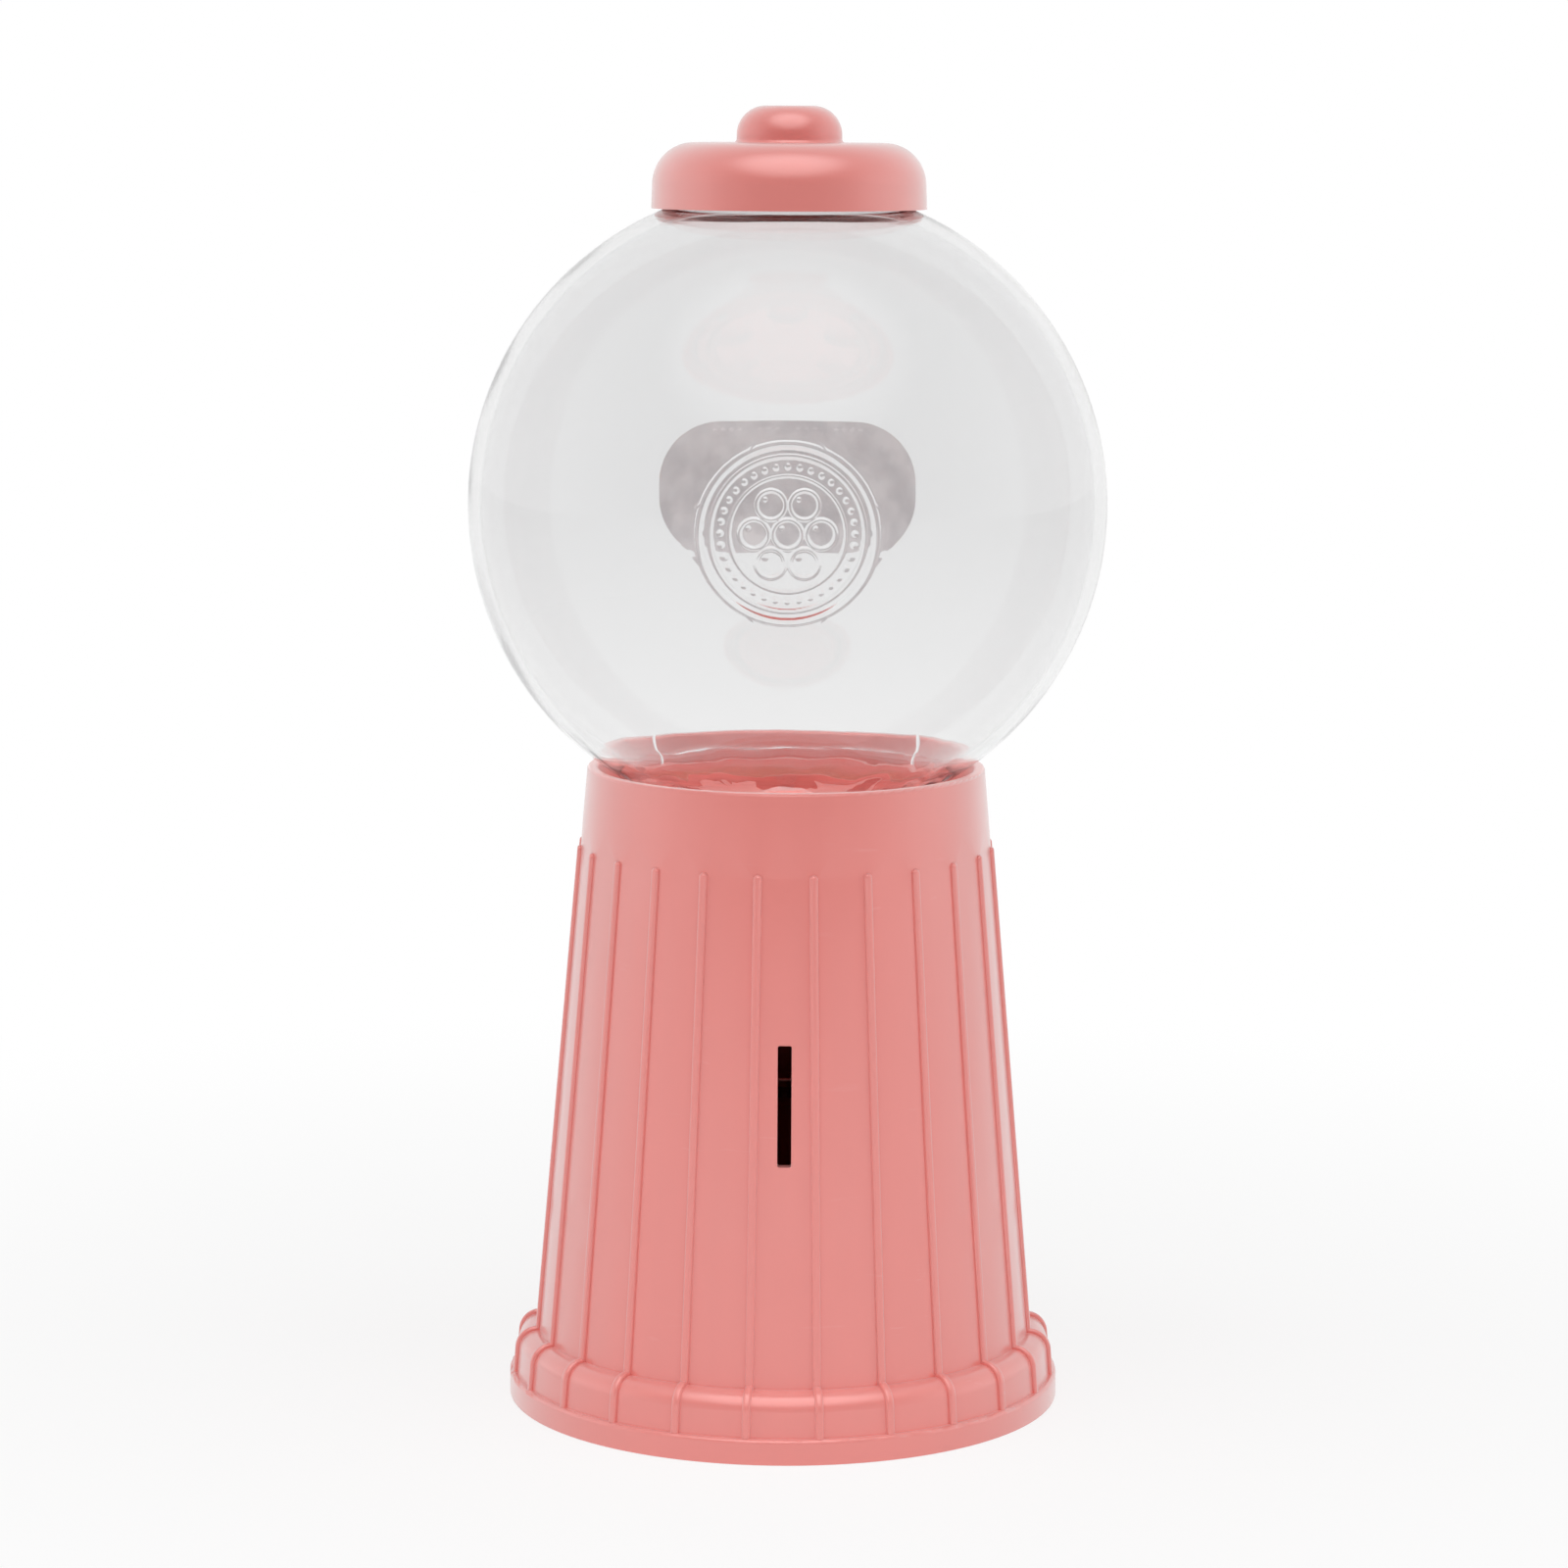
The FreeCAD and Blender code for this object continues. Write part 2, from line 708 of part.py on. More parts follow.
def crown_gear():
    """Face gear with its teeth downward; a gap between two teeth faces the pinion."""
    half = spigot_side / 2 + press
    body = disc(crown_radius, crown_low, crown_top)
    step = 360.0 / crown_teeth
    wide = tooth_root_half
    profile = [(-wide, crown_low + past / 2), (wide, crown_low + past / 2), (wide, crown_low),
               (tooth_tip_half, crown_tip), (-tooth_tip_half, crown_tip), (-wide, crown_low)]
    points = [Vector(crown_radius - crown_face, t, z) for t, z in profile]
    tooth = Part.Face(Part.makePolygon(points + points[:1])).extrude(Vector(crown_face, 0, 0))
    tooth = tooth.common(disc(crown_radius, crown_tip - past, crown_top))
    teeth = [turned(tooth, 90 + (i + 0.5) * step) for i in range(crown_teeth)]
    body = body.fuse(teeth).removeSplitter()
    return body.cut(block(-half, half, -half, half, crown_low - past, crown_top + past))


def pinion():
    """Spur pinion on the crank's shaft, with a tooth pointing up into the face gear."""
    root = pinion_radius - dedendum
    tip = pinion_radius + addendum
    half_root = tooth_root_half / root
    half_tip = tooth_tip_half / tip
    points = []
    for i in range(pinion_teeth):
        middle = math.pi / 2 + i * 2 * math.pi / pinion_teeth
        for r, a in ((root, -half_root), (tip, -half_tip), (tip, half_tip), (root, half_root)):
            points.append(Vector(r * math.cos(middle + a), pinion_back, crank_height + r * math.sin(middle + a)))
    gear = Part.Face(Part.makePolygon(points + points[:1])).extrude(Vector(0, crown_face, 0))
    hub = bar_y(shaft_radius + pinion_hub_wall, pinion_back, pinion_front, crank_height)
    gear = gear.fuse(hub)
    return gear.cut(shaft_form(press, pinion_back - past, pinion_front + past, True))


def shaft_form(grow, start, end, flat):
    """Stretch of the crank's shaft, round or with a flat on top."""
    rod = bar_y(shaft_radius + grow, start, end, crank_height)
    if flat:
        level = crank_height + shaft_radius - shaft_flat + grow
        wide = 2 * shaft_radius
        rod = rod.cut(block(-wide, wide, start - past, end + past, level, level + wide))
    return rod


def crank_shaft():
    """Steel shaft with a flat at each end and a threaded hole for the handle's screw."""
    rod = shaft_form(0, pinion_back, pinion_front, True)
    rod = rod.fuse([shaft_form(0, pinion_front, handle_back, False), shaft_form(0, handle_back, shaft_end, True)])
    hole = bar_y(small_shank_radius + press, shaft_end - small_length, shaft_end + past, crank_height)
    return rod.removeSplitter().cut(hole)


def shaft_bracket():
    """Hanging bearing of the shaft, screwed to the underside of the hopper's floor."""
    reach = bracket_reach + shaft_radius
    plate = bar_y(reach, bracket_back, bracket_back + bracket_thick, crank_height)
    plate = plate.fuse(block(-reach, reach, bracket_back, bracket_back + bracket_thick, crank_height, floor_low))
    ear = block(-bracket_ear_x, bracket_ear_x, bracket_back, bracket_back + bracket_ear,
                floor_low - chute_flange, floor_low)
    posts = []
    for spot in floor_screw_points()[2:]:
        posts.append(disc(floor_boss_radius, floor_low - flat_length, floor_low, spot.x, spot.y))
    bracket = plate.fuse([ear] + posts).removeSplitter()
    cuts = [bar_y(shaft_radius + running, bracket_back - past, bracket_back + bracket_thick + past, crank_height)]
    for spot in floor_screw_points()[2:]:
        cuts.append(disc(flat_shank_radius + press, floor_low - flat_length - past, floor_low + past, spot.x, spot.y))
    return bracket.cut(Part.makeCompound(cuts))


def front_bush():
    """Flanged bush of the shaft in the front panel's boss."""
    outer = shaft_radius + running + bush_wall
    back = boss_face - wall
    bush = bar_y(outer, back, boss_face, crank_height)
    bush = bush.fuse(bar_y(outer + bush_flange_reach, back - bush_flange, back, crank_height)).removeSplitter()
    return bush.cut(bar_y(shaft_radius + running, back - bush_flange - past, boss_face + past, crank_height))


def crank_knob():
    """Handle: a round hub and a grip across it."""
    hub = bar_y(handle_hub_radius, handle_back, handle_back + handle_hub_depth, crank_height)
    front = [e for e in hub.Edges if e.Curve.TypeId == "Part::GeomCircle"
             and e.Curve.Center.y > handle_back + tiny]
    hub = hub.makeFillet(handle_round / 2, front)
    half = handle_width / 2
    arm = handle_length / 2 - half
    inner = handle_back + handle_hub_depth / 2
    grip = block(-arm, arm, inner, handle_front, crank_height - half, crank_height + half)
    grip = grip.fuse([bar_y(half, inner, handle_front, crank_height, -arm),
                      bar_y(half, inner, handle_front, crank_height, arm)]).removeSplitter()
    rim = [e for e in grip.Edges if e.BoundBox.YMin > handle_front - tiny]
    grip = grip.makeFillet(handle_round, rim)
    back = [e for e in grip.Edges if e.BoundBox.YMax < inner + tiny]
    grip = grip.makeFillet(handle_round / 2, back)
    knob = hub.fuse(grip)
    knob = knob.cut(shaft_form(press, handle_back - past, shaft_end, True))
    knob = knob.cut(bar_y(small_shank_radius + passing, handle_back, handle_front + past, crank_height))
    sink = handle_front - small_head_height - passing
    return knob.cut(bar_y(small_head_radius + passing, sink, handle_front + past, crank_height))


def floor_screw_points():
    """Places of the four countersunk screws: two for the chute, two for the bracket."""
    y = bracket_back + bracket_ear / 2
    return [Vector(-ear_x, -pocket_ring, floor_top), Vector(ear_x, -pocket_ring, floor_top),
            Vector(-bracket_ear_x + floor_boss_radius, y, floor_top),
            Vector(bracket_ear_x - floor_boss_radius, y, floor_top)]


def cover_screw_angles():
    """Directions of the screws in the underside."""
    return [45 + i * 360.0 / cover_screw_count for i in range(cover_screw_count)]


def chute():
    """Drop box under the outlet and the sloping channel to the mouth."""
    under = chute_wall / math.cos(math.radians(chute_slope))
    back = chute_back - chute_wall
    front = chute_front + chute_wall
    outline = [(back, floor_low), (back, chute_floor(back) - under), (chute_end, chute_floor(chute_end) - under),
               (chute_end, chute_floor(chute_end) + chute_depth), (front, chute_floor(front) + chute_depth),
               (front, floor_low)]
    shaft = [(chute_back, floor_low + past), (chute_back, chute_floor(chute_back)),
             (chute_front, chute_floor(chute_front)), (chute_front, floor_low + past)]
    end = chute_end + past
    channel = [(chute_back, chute_floor(chute_back)), (end, chute_floor(end)),
               (end, chute_floor(end) + chute_depth + past), (front, chute_floor(front) + chute_depth + past),
               (front, chute_floor(front) + chute_depth), (chute_back, chute_floor(chute_back) + chute_depth)]
    body = side_prism(outline, chute_outer)
    reach = ear_x + floor_boss_radius
    ears = block(-reach, reach, -pocket_ring - floor_boss_radius, -pocket_ring + floor_boss_radius,
                 floor_low - chute_flange, floor_low)
    posts = []
    holes = []
    for spot in floor_screw_points()[:2]:
        posts.append(disc(floor_boss_radius, floor_low - flat_length, floor_low, spot.x, spot.y))
        holes.append(disc(flat_shank_radius + press, floor_low - flat_length - past, floor_low + past, spot.x, spot.y))
    body = body.fuse([ears] + posts).removeSplitter()
    for cutter in [side_prism(shaft, chute_half), side_prism(channel, chute_half)] + holes:
        body = body.cut(cutter)
    return body


def chute_hood():
    """Mouth of the chute: a frame that hugs the panel, a sleeve through it and a cup with a low lip."""
    reach = sleeve_half + hood_border
    frame = block(-reach, reach, 0, hood_face, sleeve_low - hood_border, sleeve_top + hood_border)
    along = [e for e in frame.Edges if e.BoundBox.YMax - e.BoundBox.YMin > hood_face - tiny]
    frame = frame.makeFillet(hood_border, along)
    face = [e for e in frame.Edges if e.BoundBox.YMin > hood_face - tiny]
    frame = frame.makeFillet(hood_round, face).cut(cone_solid(hood_gap))
    sleeve = block(-sleeve_half, sleeve_half, chute_end - hood_back, hood_face - hood_round, sleeve_low, sleeve_top)
    middle = (sleeve_low + sleeve_top) / 2
    outer = sleeve_half + hood_slip + hook_reach
    hook_front = math.sqrt(cone_inner(middle + hook_height / 2) ** 2 - outer ** 2) - hood_slip
    hooks = block(-outer, outer, hook_front - hook_depth, hook_front, middle - hook_height / 2,
                  middle + hook_height / 2)
    hood = frame.fuse([sleeve, hooks]).removeSplitter()
    hood = hood.cut(block(-mouth_half, mouth_half, 0, hood_face + past, cup_floor, mouth_roof))
    lip = block(-mouth_half, mouth_half, hood_face - lip_depth - hood_round, hood_face - hood_round, cup_floor,
                cup_floor + lip_height)
    hood = hood.fuse(lip).removeSplitter()
    return hood.cut(bar_x(flap_pin_radius + press, sleeve_half, pin_y, pin_z))


def chute_flap():
    """Door of the mouth, hung on its pin, with a small finger tab."""
    half = mouth_half - flap_gap
    low = cup_floor + lip_height + flap_gap
    front = pin_y + flap_thick / 2
    plate = block(-half, half, pin_y - flap_thick / 2, front, low, pin_z)
    tab = block(-flap_tab_width / 2, flap_tab_width / 2, pin_y, front + flap_tab_reach, low, low + flap_tab_thick)
    upright = [e for e in tab.Edges if e.BoundBox.YMin > front + flap_tab_reach - tiny
               and e.BoundBox.ZMax - e.BoundBox.ZMin > flap_tab_thick - tiny]
    tab = tab.makeFillet(min(flap_tab_reach, flap_tab_width / 2) / 2, upright)
    flap = plate.fuse([bar_x(flap_barrel, half, pin_y, pin_z), tab]).removeSplitter()
    return flap.cut(bar_x(flap_pin_radius + running, half + past, pin_y, pin_z))


def flap_pin():
    """Hinge pin of the flap, held in the sleeve's cheeks."""
    return bar_x(flap_pin_radius, sleeve_half, pin_y, pin_z)


def base_cover():
    """Underside of the coin bank, with the notched hole for the coin door."""
    plate = disc(cover_radius, cover_low, cover_top)
    cuts = [disc(door_hole, cover_low - past, cover_top + past)]
    notch = lug_half_angle + lug_notch_play
    for start in (0, 180):
        cuts.append(sector(0, lug_outer + door_side_gap, cover_low - past, cover_top + past, start + door_turn, notch))
    for angle in cover_screw_angles():
        spot = on_ring(cover_post_ring, angle, 0)
        cuts.append(disc(pan_shank_radius + passing, cover_low - past, cover_top + past, spot.x, spot.y))
        cuts.append(disc(pan_head_radius + passing, cover_low - past, cover_low + cover_thick / 2, spot.x, spot.y))
    for cutter in cuts:
        plate = plate.cut(cutter)
    return plate


def coin_door():
    """Quarter-turn door: a rim below the cover, lugs above it and a bar to grip."""
    door = disc(lug_outer + door_flange_reach, door_low, door_low + door_flange_thick)
    door = door.fuse([disc(door_radius, door_low, lug_low + lug_thick)])
    lugs = [sector(0, lug_outer, lug_low, lug_low + lug_thick, start, lug_half_angle) for start in (0, 180)]
    door = door.fuse(lugs).removeSplitter()
    grip = disc(grip_radius, door_low - past, door_low + grip_depth)
    grip = grip.cut(block(-grip_bar / 2, grip_bar / 2, -grip_radius, grip_radius, 0, door_low + grip_depth))
    return door.cut(grip)


def hopper_screws():
    """Five pan-head screws through the hopper's flange."""
    one = pan_screw(pan_head_radius, pan_head_height, pan_shank_radius, pan_length)
    angles = post_points()[0] + post_points()[1]
    return Part.makeCompound([placed(one, on_ring(post_ring, angle, seat)) for angle in angles])


def cover_screws():
    """Pan-head screws up through the underside."""
    one = pan_screw(pan_head_radius, pan_head_height, pan_shank_radius, pan_length)
    height = cover_low + cover_thick / 2
    spots = [on_ring(cover_post_ring, angle, height) for angle in cover_screw_angles()]
    return Part.makeCompound([placed(one, spot, Vector(1, 0, 0), 180) for spot in spots])


def floor_screws():
    """Countersunk screws down through the hopper's floor."""
    return Part.makeCompound([placed(flat_screw(), spot) for spot in floor_screw_points()])


def wheel_screw():
    """Screw that holds the crown gear on the wheel's spigot."""
    one = pan_screw(small_head_radius + bush_wall, small_head_height, small_shank_radius, small_length)
    return placed(one, Vector(0, 0, crown_low), Vector(1, 0, 0), 180)


def knob_screw():
    """Screw that holds the handle on the shaft."""
    one = pan_screw(small_head_radius, small_head_height, small_shank_radius, small_length)
    sink = handle_front - small_head_height - passing
    return placed(one, Vector(0, sink, crank_height), Vector(1, 0, 0), -90)


skin = base_skin()
nodes = {
    "lid": lid(),
    "globe": globe(),
    "globe_label": globe_label(),
    "base_shell": base_shell(skin),
    "front_panel": front_panel(skin),
    "hopper": hopper(),
    "ball_guard": ball_guard(),
    "dispensing_wheel": dispensing_wheel(),
    "wheel_bush": wheel_bush(),
    "crown_gear": crown_gear(),
    "wheel_screw": wheel_screw(),
    "crank_shaft": crank_shaft(),
    "pinion": pinion(),
    "shaft_bracket": shaft_bracket(),
    "front_bush": front_bush(),
    "crank_knob": crank_knob(),
    "knob_screw": knob_screw(),
    "chute": chute(),
    "chute_hood": chute_hood(),
    "chute_flap": chute_flap(),
    "flap_pin": flap_pin(),
    "base_cover": base_cover(),
    "coin_door": coin_door(),
    "hopper_screws": hopper_screws(),
    "floor_screws": floor_screws(),
    "cover_screws": cover_screws(),
}

os.makedirs("parts", exist_ok=True)
for name, shape in nodes.items():
    shape.exportStep("parts/" + name + ".step")
    print(name, "solids", len(shape.Solids), "valid", shape.isValid(), "volume", round(shape.Volume, 1))
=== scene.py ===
# %% [markdown]
# # A gumball machine, dressed over its frame
# The machine is a ribbed pink base with a coin bank inside, a clear globe that stands loose in the base's
# rim, and a pink lid with a knob. The solid shapes are already made: they come in as a fixed frame of named
# nodes, in metres, each with its place in its own mesh. This lesson gives every node its finish, and models
# again the pieces whose beauty lies in detail too fine for the frame: the glass bowl with its raised
# medallion, the label, and the screws with their cross recesses.

# %% Load the frame
import math

import bpy
from mathutils import Matrix, Vector


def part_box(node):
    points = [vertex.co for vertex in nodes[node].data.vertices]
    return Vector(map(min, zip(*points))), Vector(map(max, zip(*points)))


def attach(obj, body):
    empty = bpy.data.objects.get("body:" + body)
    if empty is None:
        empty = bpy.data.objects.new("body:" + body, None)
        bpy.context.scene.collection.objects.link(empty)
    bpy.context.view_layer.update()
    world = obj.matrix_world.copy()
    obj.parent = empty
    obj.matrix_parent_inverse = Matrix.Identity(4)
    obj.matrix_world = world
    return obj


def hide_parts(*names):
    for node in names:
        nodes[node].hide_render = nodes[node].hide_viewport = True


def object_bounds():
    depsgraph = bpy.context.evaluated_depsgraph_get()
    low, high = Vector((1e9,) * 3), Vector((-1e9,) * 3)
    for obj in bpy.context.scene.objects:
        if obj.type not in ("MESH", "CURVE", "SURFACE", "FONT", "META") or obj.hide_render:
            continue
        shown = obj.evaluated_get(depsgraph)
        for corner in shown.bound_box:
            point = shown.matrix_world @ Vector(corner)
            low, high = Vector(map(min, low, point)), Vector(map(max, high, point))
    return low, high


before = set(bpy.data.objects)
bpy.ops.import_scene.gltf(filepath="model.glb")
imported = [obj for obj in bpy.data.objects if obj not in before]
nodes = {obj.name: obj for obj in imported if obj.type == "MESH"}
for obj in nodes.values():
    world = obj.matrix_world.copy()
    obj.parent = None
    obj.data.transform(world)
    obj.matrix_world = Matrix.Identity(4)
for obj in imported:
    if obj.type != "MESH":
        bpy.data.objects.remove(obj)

cad_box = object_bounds()
print("frame:", len(nodes), "nodes,", [round(v, 4) for v in cad_box[1] - cad_box[0]], "m")

# %% [markdown]
# ## Camera
# The picture was taken from a little above the machine, square on to the coin slot, with a long lens that
# keeps the globe round. A camera could be aimed by eye; here its place, lens and tilt come from fitting the
# outline of the base and the globe, so that a length in the picture is a length on the object.

# %% Camera
scene = bpy.context.scene
scene.view_settings.view_transform = "Standard"

camera_place = Vector((-0.0005, -1.1, 0.3146))
look_down = math.radians(8.41)
lean = math.radians(0.3)
film_width_mm = 36.0
lens_mm = 104.2

bpy.ops.object.select_all(action="DESELECT")
bpy.ops.object.camera_add()
camera = bpy.context.object
camera.name = "camera"
camera.data.sensor_width = film_width_mm
camera.data.lens = lens_mm
tilt = Matrix.Rotation(math.pi / 2 - look_down, 4, "X") @ Matrix.Rotation(lean, 4, "Z")
camera.matrix_world = Matrix.Translation(camera_place) @ tilt
scene.camera = camera
print("camera", round(camera_place.length, 3), "m away, lens", lens_mm, "mm")

# %% [markdown]
# ## Node trees in code
# A finish is a tree of small nodes. By hand one adds each node from a menu and drags its wires. In code the
# same few steps come again and again, so each gets a small helper that adds a node, fills its inputs with
# numbers or with other nodes' outputs, and hands back its own output. The trees then read like sums.

# %% Helpers for node trees
def feed(tree, socket, value):
    """Give a socket a plain value, or link another node's output to it."""
    if isinstance(value, bpy.types.NodeSocket):
        tree.links.new(value, socket)
    else:
        socket.default_value = value


def worked(tree, operation, a, b):
    """Math node of two values, each a number or an output; returns its output."""
    node = tree.nodes.new("ShaderNodeMath")
    node.operation = operation
    feed(tree, node.inputs[0], a)
    feed(tree, node.inputs[1], b)
    return node.outputs[0]


def ranged(tree, value, low, high, to_low, to_high, smooth=False):
    """Map Range node on a value; returns its output."""
    node = tree.nodes.new("ShaderNodeMapRange")
    if smooth:
        node.interpolation_type = "SMOOTHSTEP"
    for label, number in (("From Min", low), ("From Max", high), ("To Min", to_low), ("To Max", to_high)):
        node.inputs[label].default_value = number
    tree.links.new(value, node.inputs["Value"])
    return node.outputs[0]


def chosen(tree, factor, no, yes):
    """One of two shaders, by a factor; returns its output."""
    node = tree.nodes.new("ShaderNodeMixShader")
    for socket, value in zip(node.inputs, (factor, no, yes)):
        tree.links.new(value, socket)
    return node.outputs[0]


def object_spot(tree):
    """Object coordinates, which stay with a piece when it moves."""
    return tree.nodes.new("ShaderNodeTexCoord").outputs["Object"]


def new_finish(name):
    """New material; returns it, its node tree and its Principled shader."""
    finish = bpy.data.materials.new(name)
    finish.use_nodes = True
    return finish, finish.node_tree, finish.node_tree.nodes["Principled BSDF"]


print("helpers for node trees ready")

# %% [markdown]
# ## Floor
# The machine stands on a plain white sweep. A floor that is only lit would turn grey at a distance, and one
# that only glows would lose the contact shadow, so the camera sees a mix of both: plain white far away, and
# near the machine enough of the lit floor for the shadow to ground the base. From below it is clear, so the
# underside can be looked at. The glow is only for the eye, so the renderer is told not to search the floor
# for light, which would leave the real lamps noisy.

# %% Floor sheet
floor_gap = 0.0001
floor_size = 12.0
floor_level = cad_box[0].z - floor_gap
bpy.ops.object.select_all(action="DESELECT")
bpy.ops.mesh.primitive_plane_add(size=floor_size, location=(0, 0, floor_level))
floor = bpy.context.object
floor.name = "studio_floor"
print("floor at", round(floor_level, 5))

# %% Floor paper
white = (1, 1, 1, 1)
paper, tree, lit = new_finish("floor_paper")
lit.inputs["Base Color"].default_value = (0.9, 0.9, 0.9, 1)
lit.inputs["Roughness"].default_value = 0.9
lit.inputs["Specular IOR Level"].default_value = 0.1
glow = tree.nodes.new("ShaderNodeEmission")
glow.inputs["Color"].default_value = white
glow.inputs["Strength"].default_value = 1.0

shadow_reach, white_from = 0.1, 0.5
white_near, white_far = 0.8, 1.0
away = tree.nodes.new("ShaderNodeVectorMath")
away.operation = "LENGTH"
tree.links.new(object_spot(tree), away.inputs[0])
whiteness = ranged(tree, away.outputs["Value"], shadow_reach, white_from, white_near, white_far, smooth=True)
path = tree.nodes.new("ShaderNodeLightPath")
seen = worked(tree, "MAXIMUM", path.outputs["Is Camera Ray"], path.outputs["Is Transmission Ray"])
seen = worked(tree, "MAXIMUM", seen, path.outputs["Is Glossy Ray"])
upper_side = chosen(tree, worked(tree, "MULTIPLY", seen, whiteness), lit.outputs[0], glow.outputs[0])
under = tree.nodes.new("ShaderNodeNewGeometry")
through = tree.nodes.new("ShaderNodeBsdfTransparent")
both_sides = chosen(tree, under.outputs["Backfacing"], upper_side, through.outputs[0])
tree.links.new(both_sides, tree.nodes["Material Output"].inputs["Surface"])
paper.cycles.emission_sampling = "NONE"
floor.data.materials.append(paper)
print("floor paper", len(tree.nodes), "nodes")

# %% [markdown]
# ## Room
# The picture was lit in a white tent: no lamp shows as a hard shape in the glass, only a wide soft patch on
# the globe's upper half and pale flanks on the plastic. Three kinds of rays ask the room for its light. The
# camera, and glass that looks through itself, see plain white. Mirror rays see a soft gradient: dim in front,
# where the camera stands, white behind, brighter at the two sides, with one soft patch above. Everything else
# gets an even fill.

# %% Room
room = bpy.data.worlds.new("studio_room")
scene.world = room
room.use_nodes = True
tree = room.node_tree
tree.nodes.clear()


def light_of(strength):
    """White light of the room, of one strength, a number or an output."""
    node = tree.nodes.new("ShaderNodeBackground")
    node.inputs["Color"].default_value = white
    feed(tree, node.inputs["Strength"], strength)
    return node.outputs[0]


fill = 0.35
front_end, back_end = -0.95, 0.5
dim_front, white_back = 0.42, 1.0
flank_power, flank_strength = 4.0, 0.5
patch_along, patch_upward = -0.485, 0.875
patch_edge, patch_core = 0.72, 0.98
patch_strength = 1.7

path = tree.nodes.new("ShaderNodeLightPath")
split = tree.nodes.new("ShaderNodeSeparateXYZ")
tree.links.new(tree.nodes.new("ShaderNodeTexCoord").outputs["Generated"], split.inputs[0])
across, along, upward = split.outputs
front_to_back = ranged(tree, along, front_end, back_end, dim_front, white_back)
sideways = worked(tree, "POWER", worked(tree, "ABSOLUTE", across, 0), flank_power)
flanks = worked(tree, "MULTIPLY", sideways, flank_strength)
towards = worked(tree, "ADD", worked(tree, "MULTIPLY", along, patch_along),
                 worked(tree, "MULTIPLY", upward, patch_upward))
patch_above = ranged(tree, towards, patch_edge, patch_core, 0.0, patch_strength, smooth=True)
mirrored = worked(tree, "ADD", worked(tree, "ADD", front_to_back, flanks), patch_above)
seen = worked(tree, "MAXIMUM", path.outputs["Is Camera Ray"], path.outputs["Is Transmission Ray"])
surround = chosen(tree, path.outputs["Is Glossy Ray"], light_of(fill), light_of(mirrored))
out = tree.nodes.new("ShaderNodeOutputWorld")
tree.links.new(chosen(tree, seen, surround, light_of(1.0)), out.inputs["Surface"])
print("room fill", fill)

# %% [markdown]
# ## Softboxes
# The shading on the plastic comes from four broad lamps: one above and in front, one on each side, and a low
# card in front that throws light up the base, as the white table does in the picture. A small fifth lamp
# stands in the globe and shines down on the hopper, for the light that the glass gathers there. Mirror rays
# don't see the lamps, because the room already draws their soft reflections.

# %% Softboxes
def softbox(name, place, aim, width, height, watts):
    """Rectangular lamp that faces a point; neither the camera nor a mirror sees its shape."""
    bpy.ops.object.select_all(action="DESELECT")
    bpy.ops.object.light_add(type="AREA", location=place)
    lamp = bpy.context.object
    lamp.name = name
    lamp.data.shape = "RECTANGLE"
    lamp.data.size = width
    lamp.data.size_y = height
    lamp.data.energy = watts
    lamp.rotation_euler = (Vector(aim) - Vector(place)).to_track_quat("-Z", "Y").to_euler()
    lamp.visible_camera = False
    lamp.visible_glossy = False
    lamp.visible_transmission = False


softbox("softbox_over", place=(0, -0.3, 1.2), aim=(0, 0, 0.2), width=1.3, height=0.5, watts=6.0)
for name, side in (("softbox_left", -1.1), ("softbox_right", 1.1)):
    softbox(name, place=(side, -0.2, 0.36), aim=(0, 0, 0.16), width=0.6, height=1.0, watts=2.6)
softbox("card_low", place=(0, -0.36, 0.02), aim=(0, 0, 0.05), width=0.8, height=0.15, watts=0.7)
softbox("bowl_glow", place=(0, 0, 0.212), aim=(0, 0, 0.14), width=0.05, height=0.05, watts=0.045)

# %% [markdown]
# ## Shared effects: moulding marks and handling
# Injection-moulded plastic is never one flat colour. The melt leaves soft clouds and faint flow streaks, the
# polished mould leaves a very fine orange peel, and hands leave rubbed patches where the gloss changes.
# Several finishes need these, so each effect is a node group with named sockets, built once. The patterns
# read Object coordinates: every piece keeps its place in its mesh, so nothing slides when a piece moves.

# %% Helpers for shared effects
def effect_group(name, inputs, outputs):
    """New shader group with named sockets; returns the group, its input node and its output node."""
    group = bpy.data.node_groups.new(name, "ShaderNodeTree")
    for label, kind, value in inputs:
        socket = group.interface.new_socket(name=label, in_out="INPUT", socket_type=kind)
        socket.default_value = value
    for label, kind in outputs:
        group.interface.new_socket(name=label, in_out="OUTPUT", socket_type=kind)
    return group, group.nodes.new("NodeGroupInput"), group.nodes.new("NodeGroupOutput")


# Most values of a noise pattern lie between these two.
noise_low, noise_high = 0.3, 0.7


def noise(tree, vector, scale, detail, stretch=(1, 1, 1)):
    """Noise on a vector, stretched by a Mapping node; returns its value."""
    mapping = tree.nodes.new("ShaderNodeMapping")
    mapping.inputs["Scale"].default_value = stretch
    texture = tree.nodes.new("ShaderNodeTexNoise")
    texture.inputs["Scale"].default_value = scale
    texture.inputs["Detail"].default_value = detail
    tree.links.new(vector, mapping.inputs["Vector"])
    tree.links.new(mapping.outputs[0], texture.inputs["Vector"])
    return texture.outputs[0]


print("helpers for effects ready")

